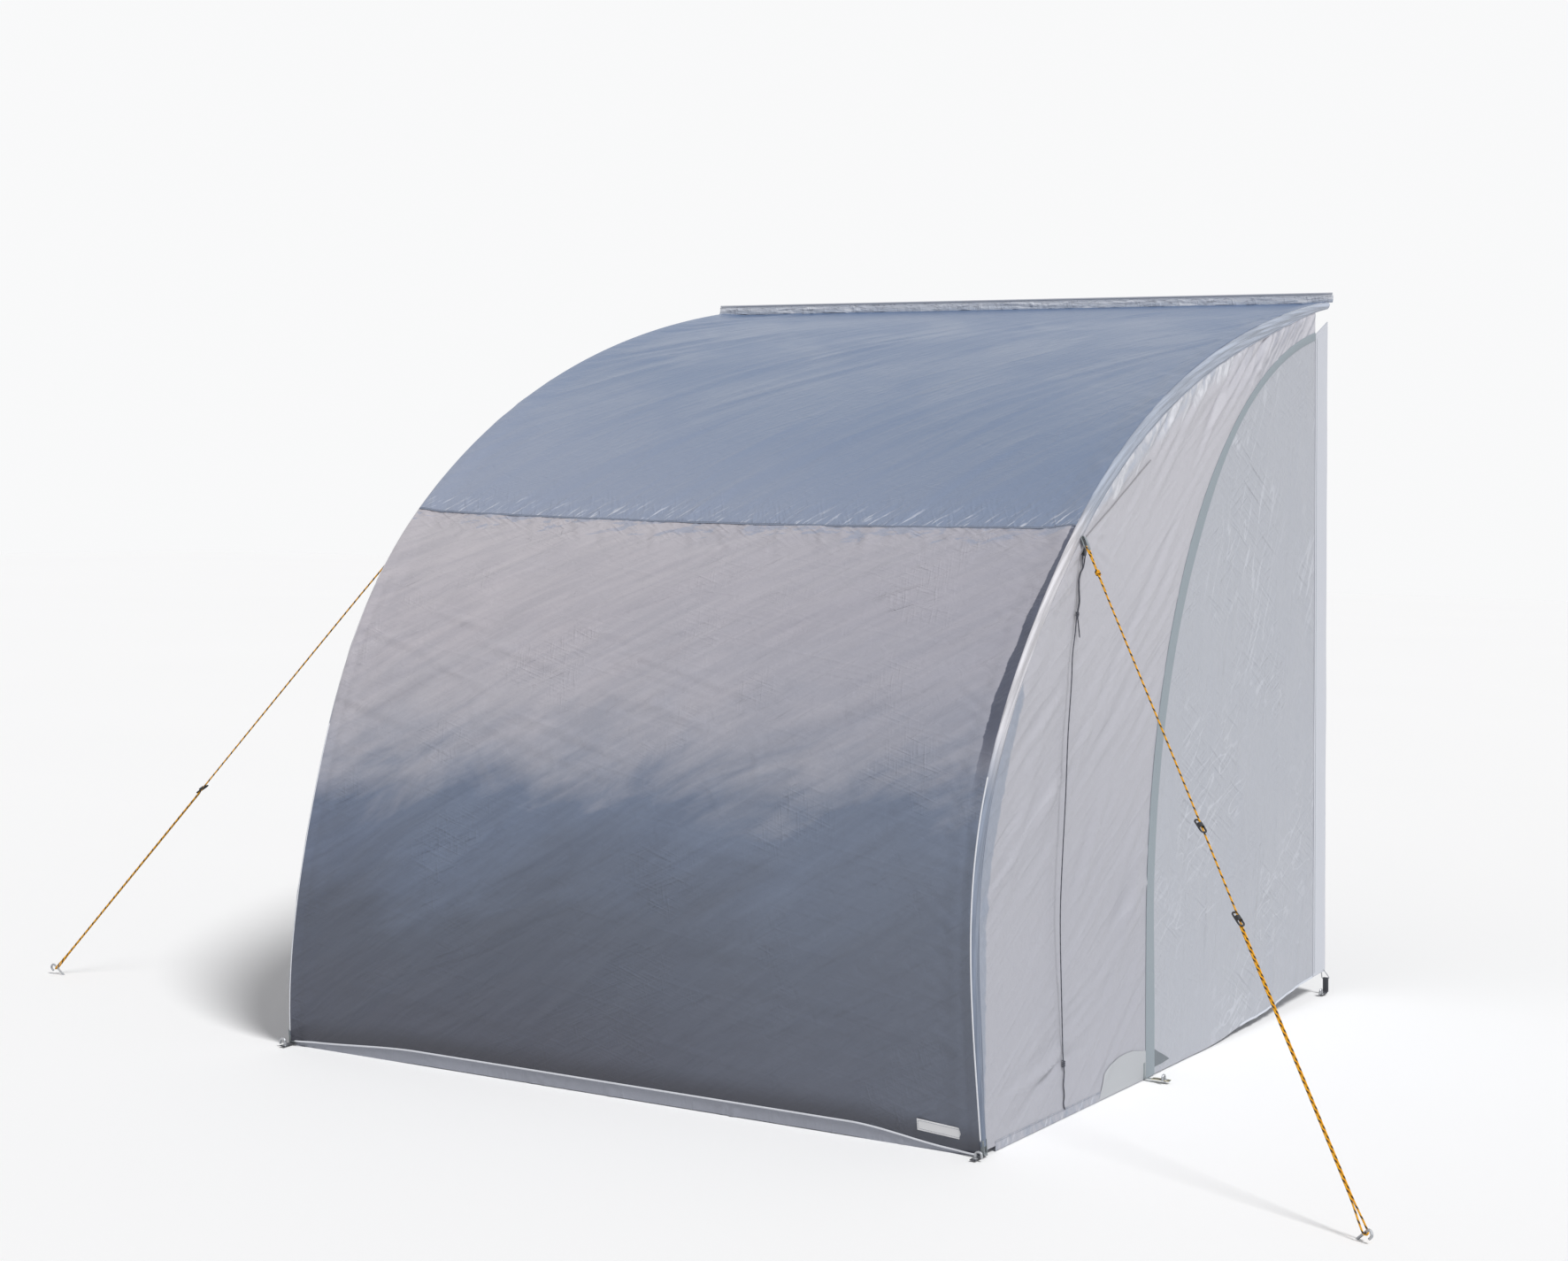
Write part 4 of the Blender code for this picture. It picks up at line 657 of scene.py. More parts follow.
# Makers
def finishUp(piece, finish, body, replaced=(), smooth=50.0):
    piece.data.materials.clear()
    piece.data.materials.append(finishes[finish].material)
    bpy.ops.object.select_all(action="DESELECT")
    piece.select_set(True)
    bpy.context.view_layer.objects.active = piece
    bpy.ops.object.shade_smooth_by_angle(angle=math.radians(smooth))
    bpy.ops.object.select_all(action="DESELECT")
    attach(piece, body)
    if replaced:
        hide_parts(*replaced)
    return piece


def readPoints(mesh):
    flat = np.empty(len(mesh.vertices) * 3)
    mesh.vertices.foreach_get("co", flat)
    return flat.reshape(-1, 3)


def writePoints(mesh, points):
    mesh.vertices.foreach_set("co", np.ascontiguousarray(points, float).ravel())
    mesh.update()


def clothArea(mesh):
    areas = np.empty(len(mesh.polygons))
    mesh.polygons.foreach_get("area", areas)
    return float(areas.sum())


def gridPiece(
    name, columns, rows, place, outward, relief=None, wall=0.0, offset=0.0, weld=False, marks=None,
):
    # A grid laid over a surface, raised along its own normals and given its wall.
    # place gives its points and UV, and on a closed form also the way out of each point.
    bpy.ops.mesh.primitive_grid_add(x_subdivisions=columns, y_subdivisions=rows, size=1.0)
    piece = bpy.context.object
    piece.name = name
    mesh = piece.data
    mesh.name = name
    flat = readPoints(mesh)
    points, uv, *away = place(flat[:, 0] + 0.5, flat[:, 1] + 0.5)
    corners = np.empty(len(mesh.loops), np.int32)
    mesh.loops.foreach_get("vertex_index", corners)
    mesh.uv_layers[0].data.foreach_set("uv", np.ascontiguousarray(uv[corners], float).ravel())
    writePoints(mesh, points)
    normals = np.empty(len(mesh.vertices) * 3)
    mesh.vertices.foreach_get("normal", normals)
    normals = normals.reshape(-1, 3)
    if np.sum(normals * (away[0] if away else outward)) < 0:
        mesh.flip_normals()
        normals = -normals
    if relief is not None:
        writePoints(mesh, points + normals * relief(uv[:, 0], uv[:, 1])[:, None])
    piece["flatArea"] = clothArea(mesh)
    for key, mark in (marks or {}).items():  # attributes that its material reads
        values = np.ascontiguousarray(mark(uv[:, 0], uv[:, 1]), float)
        mesh.attributes.new(key, "FLOAT", "POINT").data.foreach_set("value", values)
    if weld:
        bpy.ops.object.mode_set(mode="EDIT")
        bpy.ops.mesh.select_all(action="SELECT")
        bpy.ops.mesh.remove_doubles(threshold=0.000004)
        bpy.ops.object.mode_set(mode="OBJECT")
    if wall:
        solid = piece.modifiers.new("wall", "SOLIDIFY")
        solid.thickness = wall
        solid.offset = offset
        bpy.ops.object.modifier_apply(modifier="wall")
    return piece


def carriedFrames(path):
    # Two directions across a path at each of its points, carried along without twist
    ways = np.gradient(path, axis=0)
    ways = ways / np.linalg.norm(ways, axis=1, keepdims=True)
    start = np.cross(ways[0], (0.0, 0.0, 1.0))
    if np.linalg.norm(start) < 0.1:
        start = np.cross(ways[0], (1.0, 0.0, 0.0))
    normals = [unit(start)]
    for way in ways[1:]:
        kept = normals[-1] - way * (normals[-1] @ way)
        normals.append(unit(kept))
    normals = np.array(normals)
    return normals, np.cross(ways, normals)


def tubePiece(name, path, radius, sides):
    # A round cord or wire along points, with rounded ends
    path = np.asarray(path, float)
    first, second = carriedFrames(path)
    ways = runningLengths(path)
    count = len(path)
    rest = np.minimum(ways, ways[-1] - ways)
    sizes = radius * np.sqrt(np.clip(1 - (1 - np.clip(rest / radius, 0, 1)) ** 2, 0, 1))

    def place(s, t):
        ring = np.rint(t * (count - 1)).astype(int)
        angle = 2 * math.pi * np.round(s * sides) / sides
        away = first[ring] * np.cos(angle)[:, None] + second[ring] * np.sin(angle)[:, None]
        uv = np.stack((s * 2 * math.pi * radius, ways[ring]), 1)
        return path[ring] + away * sizes[ring][:, None], uv, away

    return gridPiece(name, sides, count - 1, place, None, weld=True)


def ribbonPiece(name, path, widthWay, width, wall, columns, step, facing=None):
    # A flat band along points
    path = resample(np.asarray(path, float), step)
    ways = runningLengths(path)
    count = len(path)
    sideways = np.broadcast_to(np.asarray(widthWay, float), path.shape)
    facing = np.cross(sideways[0], path[1] - path[0]) if facing is None else facing

    def place(s, t):
        ring = np.rint(t * (count - 1)).astype(int)
        points = path[ring] + sideways[ring] * ((s - 0.5) * width)[:, None]
        return points, np.stack((s * width, ways[ring]), 1)

    return gridPiece(name, columns, count - 1, place, facing, None, wall)


def straps(name, path, widthWay, width, wall, finish, replaced=()):
    piece = ribbonPiece(name, path, widthWay, width, wall, 4, 0.0025)
    return finishUp(piece, finish, "tent", replaced)


thread = {"share": 0.66, "half": 0.00042, "rise": 0.00045}


def stitchRow(name, path, pitch, face):
    # Short raised stitches, one after another along a line
    path = resample(np.asarray(path, float), pitch)
    middles, ways = (path[1:] + path[:-1]) / 2, path[1:] - path[:-1]
    length = pitch * thread["share"]
    verts, faces = [], []
    facing = np.broadcast_to(np.asarray(face, float), middles.shape)
    for middle, way, out in zip(middles, ways, facing):
        way = unit(way)
        wide = unit(np.cross(way, out)) * thread["half"]
        lift = unit(out) * thread["rise"]
        base = len(verts)
        for end in (-0.5, 0.5):
            spot = middle + way * length * end
            verts += [spot - wide, spot + lift, spot + wide, spot - lift]
        faces += [(base + 1, base + 5, base + 4, base), (base + 2, base + 6, base + 5, base + 1)]
        faces += [(base + 3, base + 7, base + 6, base + 2), (base, base + 4, base + 7, base + 3)]
        faces += [(base + 3, base + 2, base + 1, base), (base + 4, base + 5, base + 6, base + 7)]
    mesh = bpy.data.meshes.new(name)
    mesh.from_pydata([tuple(vert) for vert in verts], [], faces)
    piece = bpy.data.objects.new(name, mesh)
    bpy.context.scene.collection.objects.link(piece)
    finishUp(piece, "thread", "tent")


def dressNodes(finish, *names):
    # Pieces that keep the part's own shape
    for name in names:
        mesh = nodes[name].data
        mesh.materials.clear()
        mesh.materials.append(finishes[finish].material)


# Camera, lights and floor
def setCamera():
    look = {
        "place": (3.0308, -6.8091, -0.5814),
        "lens": 56.17,
        "sensor": 36.0,
        "yaw": 0.50633,
        "pitch": 0.05762,
        "roll": 0.02012,
    }
    yaw, pitch, roll = look["yaw"], look["pitch"], look["roll"]
    ahead = Vector((-math.sin(yaw) * math.cos(pitch), math.cos(yaw) * math.cos(pitch), -math.sin(pitch)))
    level = Vector((math.cos(yaw), math.sin(yaw), 0.0))
    upright = level.cross(ahead)
    right = level * math.cos(roll) + upright * math.sin(roll)
    top = upright * math.cos(roll) - level * math.sin(roll)
    data = bpy.data.cameras.new("photo_camera")
    data.sensor_width = look["sensor"]
    data.lens = look["lens"]
    camera = bpy.data.objects.new("photo_camera", data)
    bpy.context.scene.collection.objects.link(camera)
    turned = Matrix((right, top, -ahead)).transposed().to_4x4()
    turned.translation = look["place"]
    camera.matrix_world = turned
    bpy.context.scene.camera = camera


def setLights():
    light = {
        "sun": 2.45,
        "softness": 14.0,
        "from": (0.56, -0.22, 0.80),
        "world": (0.34, 0.34, 0.345),
        "backdrop": (0.945, 0.948, 0.953),
    }
    world = bpy.data.worlds.new("pale_studio")
    bpy.context.scene.world = world
    world.use_nodes = True
    tree = world.node_tree
    tree.nodes.clear()
    soft = tree.nodes.new("ShaderNodeBackground")
    soft.inputs["Color"].default_value = (*light["world"], 1.0)
    seen = tree.nodes.new("ShaderNodeBackground")
    seen.inputs["Color"].default_value = (*light["backdrop"], 1.0)
    ray = tree.nodes.new("ShaderNodeLightPath")
    total = Link(tree, ray.outputs["Is Camera Ray"]) + Link(tree, ray.outputs["Is Glossy Ray"])
    total = total + Link(tree, ray.outputs["Is Transmission Ray"])
    choose = tree.nodes.new("ShaderNodeMixShader")
    tree.links.new(total.socket, choose.inputs[0])
    tree.links.new(soft.outputs[0], choose.inputs[1])
    tree.links.new(seen.outputs[0], choose.inputs[2])
    output = tree.nodes.new("ShaderNodeOutputWorld")
    tree.links.new(choose.outputs[0], output.inputs[0])
    sun = bpy.data.lights.new("soft_sun", "SUN")
    sun.energy = light["sun"]
    sun.angle = math.radians(light["softness"])
    lamp = bpy.data.objects.new("soft_sun", sun)
    lamp.rotation_euler = Vector(light["from"]).to_track_quat("Z", "Y").to_euler()
    bpy.context.scene.collection.objects.link(lamp)


def setFloor():
    look = {"span": 60.0, "dark": (0.95,) * 3, "light": (0.97,) * 3}
    bpy.ops.mesh.primitive_plane_add(size=look["span"], location=(0.0, 0.0, -tent["railHeight"]))
    floor = bpy.context.object
    floor.name = "studio_floor"
    finish = Finish("studio_floor", (0.96, 0.96, 0.96), 0.9)
    clouds = finish.noise(finish.place("Object"), 0.4)
    finish.put("Base Color", finish.mix(clouds, look["dark"], look["light"]))
    floor.data.materials.append(finish.material)


setCamera()
setLights()
setFloor()
bpy.context.scene.view_settings.view_transform = "Standard"
print("camera, lights and floor ready")


# Guy lines, with the route that the part's source gives them
guy = {
    "seamSpot": (1.65593, 1.330),
    "seamNormal": (0.65095, 0.75912),
    "tabLength": 0.036,
    "tabDepth": 0.010,
    "tabWidth": 0.014,
    "tabInset": 0.025,
    "knot": 0.103,
    "knotReach": 0.020,
    "tail": 0.159,
    "strandGap": 0.0004,
    "loopRadius": 0.0065,
    "loopMouth": 0.022,
    "pegHeight": 0.020,
    "flare": 0.060,
    "pegs": {1: (1.798, -2.264), -1: (-2.051, -1.825)},
    "runners": {1: 0.994, -1: 1.010},
    "spareRunner": 0.770,
    "runnerLength": 0.041,
    "webbing": 0.0017,
    "lengths": {1: 2.484, -1: 2.554},
    "knotSize": (2.1, 3.2),  # in radii of the cord
    "knotTurns": 2.6,
    "knotLength": 0.011,
}
sleeve = {
    "radius": 0.0086,
    "fin": 0.030,
    "finThickness": 0.0038,
    "shoulder": 130.0,
    "topSetback": 0.006,
    "footHeight": 0.026,
    "neck": 0.007,  # where its round part meets its flat edge
    "wall": 0.0005,
    "pitch": 0.0040,
}


def pegSpot(side):
    return np.array((*guy["pegs"][side], guy["pegHeight"] - tent["railHeight"]))


def axesMatrix(origin, xWay, yWay):
    # An origin with three square axes, the first along xWay
    x = unit(np.asarray(xWay, float))
    y = np.asarray(yWay, float)
    y = unit(y - x * (x @ y))
    return np.asarray(origin, float), np.array((x, y, np.cross(x, y)))


def finHalf(inset):
    # Half the sleeve's thickness, this far in from the pole's middle
    shoulder = math.radians(sleeve["shoulder"])
    start = -sleeve["radius"] * math.cos(shoulder)
    half = sleeve["radius"] * math.sin(shoulder)
    return half + (sleeve["finThickness"] / 2 - half) * (inset - start) / (sleeve["fin"] - start)


def tabFrame(side):
    spot = np.array(guy["seamSpot"]) - np.array(guy["seamNormal"]) * guy["tabInset"]
    centre = sidePoint(side, *spot)
    out = outboard(side)
    along, up = sideFrames[side][1:3]
    normal = along * guy["seamNormal"][0] + up * guy["seamNormal"][1]
    way = unit(pegSpot(side) - centre)
    edge = unit(np.cross(way, out)) * guy["tabWidth"] / 2
    touch = guy["tabInset"] - way @ normal * guy["tabDepth"] / 2 - abs(edge @ normal)
    root = centre + out * (finHalf(touch) + tent["gap"] + guy["tabDepth"] / 2 * (1 - way @ out))
    return axesMatrix(root, pegSpot(side) - root, out)


def guyFrame(side):
    root = tabFrame(side)[0]
    peg = pegSpot(side)
    along = unit(root - peg)
    return *axesMatrix(peg, along, np.cross((0.0, 0.0, 1.0), along)), float(np.linalg.norm(root - peg))


def smoothRoute(points, spacing):
    # A smooth line through points
    route = [np.asarray(point, float) for point in points]
    ends = [route[0] * 2 - route[1], *route, route[-1] * 2 - route[-2]]
    made = []
    for a, b, c, d in zip(ends, ends[1:], ends[2:], ends[3:]):
        reach = np.linalg.norm(c - b)
        steps = max(3, round(reach / spacing))
        outOf = (c - a) * reach / (np.linalg.norm(b - a) + reach)
        into = (d - b) * reach / (np.linalg.norm(d - c) + reach)
        for step in range(steps):
            t = step / steps
            first, second = b * (2 * t**3 - 3 * t**2 + 1), outOf * (t**3 - 2 * t**2 + t)
            made.append(first + second + c * (3 * t**2 - 2 * t**3) + into * (t**3 - t**2))
    made.append(route[-1])
    return np.array(made)


def webbingBight(length, width, radius):
    # The cord's turn through a webbing loop
    inside = length - guy["webbing"] - tent["gap"] - radius
    beside = width / 2 + radius + tent["gap"] * 2
    oneSide = [
        (inside + 0.022, beside * 0.58),
        (inside + 0.012, beside * 0.88),
        (inside + 0.0045, beside * 1.02),
        (inside + 0.0015, beside * 0.99),
        (inside, width / 2 + radius * 0.2),
        (inside, width / 4),
    ]
    return [(along, -across) for along, across in oneSide] + oneSide[::-1]


def guyRoute(side, turn, length):
    # From the tail at the knot through the loop, down to the peg, round it and back up to the runner
    radius = ropeSize["guy"]
    beside = radius + guy["strandGap"] / 2
    spread = turn @ tabFrame(side)[1][2]
    knot, reach, tail = guy["knot"], guy["knotReach"], guy["tail"]
    top = [(tail, -beside), (knot + reach, -beside), (knot, -beside), (knot - reach, -beside * 1.15)]
    top += webbingBight(guy["tabLength"], guy["tabWidth"], radius)
    top += [(knot - reach, beside * 1.15), (knot, beside), (tail, beside)]
    route = [(length - along, across * spread[1], across * spread[2]) for along, across in top]
    route += [(length - 0.30, -beside * 0.2, 0.0), (length - 0.60, -beside, 0.0)]
    route += [(0.45, -beside, 0.0), (0.12, -beside, 0.0), (guy["flare"], -beside * 1.2, 0.0)]
    wide = guy["loopRadius"] * 0.86
    turns = [math.radians(angle) for angle in range(-90, -271, -30)]
    loop = [(guy["loopRadius"] * math.cos(a), guy["loopRadius"] * math.sin(a)) for a in turns]
    route += [(x, y, 0.0) for x, y in [(guy["loopMouth"], -wide), *loop, (guy["loopMouth"], wide)]]
    route += [(guy["flare"], beside * 1.2, 0.0), (0.12, beside, 0.0), (0.45, beside, 0.0)]
    runner = length - guy["runners"][side]
    return [*route, (runner - guy["runnerLength"] * 0.22, beside, 0.0)], spread


def knotPiece(name, centre, way, wide, size, strand, turns, length, finish):
    # A few turns of cord wound round the strands; size is how far they reach up and sideways
    way, wide = unit(way), unit(wide)
    high = unit(np.cross(way, wide)) * size[0]
    share = np.linspace(0.0, 1.0, int(turns * 16) + 1)
    angle = share * turns * 2 * math.pi
    path = centre + (share - 0.5)[:, None] * length * way
    path = path + np.cos(angle)[:, None] * wide * size[1] + np.sin(angle)[:, None] * high
    return finishUp(tubePiece(name, path, strand, 8), finish, "tent")


def stadium(length, depth, steps=10):
    # A long ring in X and Y with round ends, from X = 0 to its length; its last point is its first
    outer = depth / 2
    turns = np.linspace(-0.5, 0.5, steps) * math.pi
    right = [(length - outer + outer * math.cos(a), outer * math.sin(a)) for a in turns]
    turns = np.linspace(0.5, 1.5, steps) * math.pi
    left = [(outer + outer * math.cos(a), outer * math.sin(a)) for a in turns]
    return np.array([*right, *left, right[0]])


def webLoop(name, origin, turn, length, depth, width, finish, replaced):
    # A loop of webbing, sewn at the origin
    flat = stadium(length - guy["webbing"], depth - guy["webbing"])
    flat[:, 0] += guy["webbing"] / 2
    path = origin + flat[:, :1] * turn[0] + flat[:, 1:] * turn[1]
    return straps(name, path, turn[2], width, guy["webbing"] * 0.9, finish, replaced)


def sweptRing(name, centre, axes, ring, section):
    # A closed section of (outwards, lift) points, carried round a flat ring that runs anticlockwise
    ring, section = np.asarray(ring, float), np.asarray(section, float)
    onward = np.roll(ring, -1, axis=0) - np.roll(ring, 1, axis=0)
    outwards = np.stack((onward[:, 1], -onward[:, 0]), 1) / np.linalg.norm(onward, axis=1)[:, None]
    middle = section.mean(axis=0)

    def place(s, t):
        spot = np.rint(s * len(ring)).astype(int) % len(ring)
        part = section[np.rint(t * len(section)).astype(int) % len(section)]
        away = outwards[spot] * (part - middle)[:, :1] @ axes[:2] + (part - middle)[:, 1:] * axes[2]
        points = centre + (ring[spot] + outwards[spot] * part[:, :1]) @ axes[:2] + part[:, 1:] * axes[2]
        return points, np.stack((s, t), 1), away

    return gridPiece(name, len(ring), len(section), place, None, weld=True)


def runnerPiece(name, node, origin, turn, along, body):
    # An oval ring that lies aslant across the line, with a bridge over the strands
    size = {"length": 0.042, "width": 0.0175, "rim": 0.0043, "thick": 0.0034, "tilt": 14.0}
    bridge = {"height": 0.0055, "width": 0.012, "wall": 0.0018}
    ring = stadium(size["length"] - size["rim"], size["width"] - size["rim"], 14)[:-1]
    ring[:, 0] -= (size["length"] - size["rim"]) / 2
    tilt = math.radians(size["tilt"])
    cosine, sine = math.cos(tilt), math.sin(tilt)
    axes = np.array((turn[0] * cosine - turn[2] * sine, turn[1], turn[0] * sine + turn[2] * cosine))
    angle = np.linspace(0.0, 2 * math.pi, 13)[:-1]
    section = np.stack((np.cos(angle) * size["rim"] / 2, np.sin(angle) * size["thick"] / 2), 1)
    centre = origin + turn[0] * along
    piece = sweptRing(name, centre, axes, ring, section)
    bow = np.linspace(-1.0, 1.0, 15)[:, None]
    reach = (size["width"] - size["rim"]) / 2
    path = centre + bow * reach * axes[1] + (1 - bow**4) * bridge["height"] * axes[2]
    arch = ribbonPiece(f"{name}_bridge", path, axes[0], bridge["width"], bridge["wall"], 6, 0.0009)
    piece.select_set(True)
    arch.select_set(True)
    bpy.context.view_layer.objects.active = piece
    bpy.ops.object.join()
    return finishUp(piece, "plastic", body, (node,))


def makeGuy(side):
    word = words[side]
    origin, turn, length = guyFrame(side)
    route, spread = guyRoute(side, turn, length)
    smooth = origin + smoothRoute(route, 0.03) @ turn
    tabOrigin, tabTurn = tabFrame(side)
    webLoop(
        f"guy_loop_{word}", tabOrigin, tabTurn, guy["tabLength"], guy["tabDepth"], guy["tabWidth"],
        "greyWeb", (f"guy_tab_{word}",),
    )
    line = finishUp(
        tubePiece(f"guy_cord_{word}", resample(smooth, 0.005), ropeSize["guy"], 10),
        "guy", "tent", (f"guy_line_{word}",),
    )
    along, sideways = turn[0], turn[1] * spread[1] + turn[2] * spread[2]
    radius = ropeSize["guy"]
    knot = knotPiece(
        f"guy_knot_{word}", origin + along * (length - guy["knot"]), along, sideways,
        [radius * times for times in guy["knotSize"]], radius, guy["knotTurns"], guy["knotLength"],
        "guy",
    )
    spots = [(f"guy_runner_{word}", length - guy["runners"][side], f"runner_{word}")]
    if side > 0:
        spots.append(("spare_runner_right", length - guy["spareRunner"], "spare_runner"))
    for node, place, body in spots:
        runnerPiece(f"{node}_ring", node, origin, turn, place, body)


# Tension cords: (u, v) points of the side plane, from the loop down, as in the part's source
cord = {
    "strandGap": 0.0006,
    "loopLength": 0.040,
    "loopDepth": 0.008,
    "loopWidth": 0.010,
    "setback": 0.0297,
    "drop": 0.023,
    "lean": 10.0,
    "face": 0.0011,
    "length": 1.4872,
}
cordDoubled = (
    (1.6370, 1.2420), (1.6510, 1.2300), (1.6590, 1.2146),
    (1.6590, 1.1900), (1.6570, 1.1640), (1.6670, 1.1370),
)
cordTail = ((1.6600, 1.1080), (1.6540, 1.0820))
cordHang = (
    (1.6780, 1.0950), (1.6920, 1.0460), (1.6960, 0.9960), (1.7030, 0.9460), (1.7150, 0.8670),
    (1.7270, 0.7290), (1.7410, 0.6100), (1.7530, 0.4850), (1.7530, 0.4000), (1.7490, 0.3220),
    (1.7440, 0.2300), (1.7390, 0.1460), (1.7320, 0.1050), (1.7360, 0.0780), (1.7310, 0.0530),
    (1.7350, 0.0350), (1.7270, 0.0190),
)
cordKnots = (
    {"spot": (1.667, 1.137), "lift": 0.93, "turns": 2.6, "length": 0.009, "size": (2.1, 3.2)},
    {"spot": (1.7355, 0.126), "lift": 0.09, "turns": 3.6, "length": 0.016, "size": (2.1, 2.1)},
)


def makeCord(side):
    word = words[side]
    lean = math.radians(cord["lean"])
    down, across = np.array((math.sin(lean), -math.cos(lean))), np.array((math.cos(lean), math.sin(lean)))
    sewn = np.array(guy["seamSpot"]) - (cord["setback"], cord["drop"])
    out, radius = outboard(side), ropeSize["cord"]
    loopOut = cord["face"] + cord["loopDepth"] / 2
    along, up = sideFrames[side][1:3]
    origin, turn = axesMatrix(sidePoint(side, *sewn, -loopOut), along * down[0] + up * down[1], out)
    webLoop(
        f"cord_tab_{word}", origin, turn, cord["loopLength"], cord["loopDepth"], cord["loopWidth"],
        "darkWeb", (f"cord_loop_{word}",),
    )
    bight = webbingBight(cord["loopLength"], cord["loopWidth"], radius)
    bight = [sewn + down * a + across * b for a, b in bight]
    beside = np.array((radius + cord["strandGap"] / 2, 0.0))
    doubled = [np.array(spot) for spot in cordDoubled]
    flat = [np.array(spot) for spot in cordTail[::-1]] + [spot - beside for spot in doubled[::-1]]
    flat += bight + [spot + beside for spot in doubled] + [np.array(spot) for spot in cordHang]
    restOut, lowest = cord["face"] + radius, cordHang[-1][1]
    shares = [min(1.0, (spot[1] - lowest) / (cordDoubled[0][1] - lowest)) for spot in flat]
    lifts = [restOut + (loopOut - restOut) * share for share in shares]
    route = [sidePoint(side, *spot, -lift) for spot, lift in zip(flat, lifts)]
    smooth = smoothRoute(route, 0.02)
    line = finishUp(
        tubePiece(f"side_cord_{word}", resample(smooth, 0.004), radius, 8),
        "cord", "tent", (f"tension_cord_{word}",),
    )
    for number, knot in enumerate(cordKnots):
        centre = sidePoint(side, *knot["spot"], -(restOut + (loopOut - restOut) * knot["lift"]))
        knotPiece(
            f"cord_knot_{number}_{word}", centre, -up, along, [radius * times for times in knot["size"]],
            radius, knot["turns"], knot["length"], "cord",
        )
    2 * radius


for side in words:
    makeGuy(side)
    makeCord(side)
print("guy lines and cords ready")


# Roof, front and mud flap
roofLook = {
    "columns": 176,
    "rows": 168,
    "seed": 11,
    "wall": 0.0007,
    "seamGathers": 74,
    "edgeGathers": 34,
    "edge": 0.012,  # how far in from the cloth's edges its gathers start
    "bead": 0.0035,  # the keder bead's radius, with the band and the cloth's edge under it
    "band": 0.024,
    "overlap": 0.004,
    "railInset": 0.002,
    "railBack": 0.0016,
}
frontLook = {
    "columns": 176,
    "rows": 170,
    "seed": 23,
    "wall": 0.0007,
    "seamGathers": 84,
    "edgeGathers": 44,
    "edge": 0.030,
    "gutter": 0.0045,
}


def edgeFade(x, width, y=None, length=None, reach=0.02):
    # Nought along a cloth's edges and one away from them
    fade = smoothStep(np.minimum(x, width - x), 0.0, reach)
    if y is not None:
        fade = fade * smoothStep(np.minimum(y, length - y), 0.0, reach * 0.5)
    return fade


def makeRoof():
    draw = np.random.default_rng(roofLook["seed"])
    width, length = frontWidth, seamWay
    broad = scatterLines(
        draw, 60, (0, width), (0.1, length), (-63, -45), (0.25, 0.95), (0.012, 0.030), (0.0010, 0.0034),
    )
    lines = scatterLines(
        draw, 40, (0, width), (0.1, length), (-66, -40), (0.10, 0.34), (0.006, 0.012), (0.0004, 0.0011),
    )
    # Gathers above the felled seam, and beside both sleeves
    for number in range(roofLook["seamGathers"]):
        x = (number + draw.uniform(0.1, 0.9)) * width / roofLook["seamGathers"]
        lean = math.radians(draw.uniform(-74, -34))
        start = creaseFrom(x, length - 0.008, lean, draw.uniform(0.05, 0.17), 0.4)
        lines.append((*start, draw.uniform(0.005, 0.011), draw.uniform(0.0010, 0.0030)))
    for number in range(roofLook["edgeGathers"]):
        y = 0.25 + (number + draw.uniform(0, 1)) * (length - 0.3) / roofLook["edgeGathers"]
        for x, base in ((roofLook["edge"], -52.0), (width - roofLook["edge"], -128.0)):
            lean = math.radians(base + draw.uniform(-16, 16))
            start = creaseFrom(x, y, lean, draw.uniform(0.05, 0.16), 0.4)
            lines.append((*start, draw.uniform(0.005, 0.010), draw.uniform(0.0005, 0.0016)))
    lines += scatterLines(
        draw, 40, (0.02, width), (0.0, 0.05), (70, 110), (0.03, 0.08), (0.004, 0.008), (0.0005, 0.0013),
    )
    waves = drawWaves(draw, 6, (0.35, 0.9))

    def place(s, t):
        way = (t + 0.35 * t * (1 - t)) * length
        points = sheetAt(np.maximum(way, sleeve["topSetback"]), s, overPole(s))
        rail = t < 1e-6
        half = tent["railHalf"] - roofLook["railInset"]
        height = -roofLook["bead"] - 2 * tent["gap"] - roofLook["band"] + roofLook["overlap"]
        points[rail, 0] = half * (2 * s[rail] - 1)
        points[rail, 1] = -roofLook["railBack"]
        points[rail, 2] = height
        return points, np.stack((s * width, way), 1)

    def relief(x, y):
        large = creaseHeights(x, y, broad) + swell(x, y, waves, 0.0035)
        high = creaseHeights(x, y, lines) + large * edgeFade(x, width, reach=0.07)
        return high * edgeFade(x, width, y, length, 0.012)

    columns, rows = roofLook["columns"], roofLook["rows"]
    piece = gridPiece("roof_cloth", columns, rows, place, (0.0, -0.5, 0.8), relief, roofLook["wall"])
    finishUp(piece, "roof", "tent", ("roof_panel",))


def hemDip(s):
    # The hem hangs lower towards both feet
    x = (s - 0.5) * frontWidth
    return 0.020 * smoothStep(-x, 0.55, 0.93) + 0.026 * smoothStep(x, 0.62, 0.90)


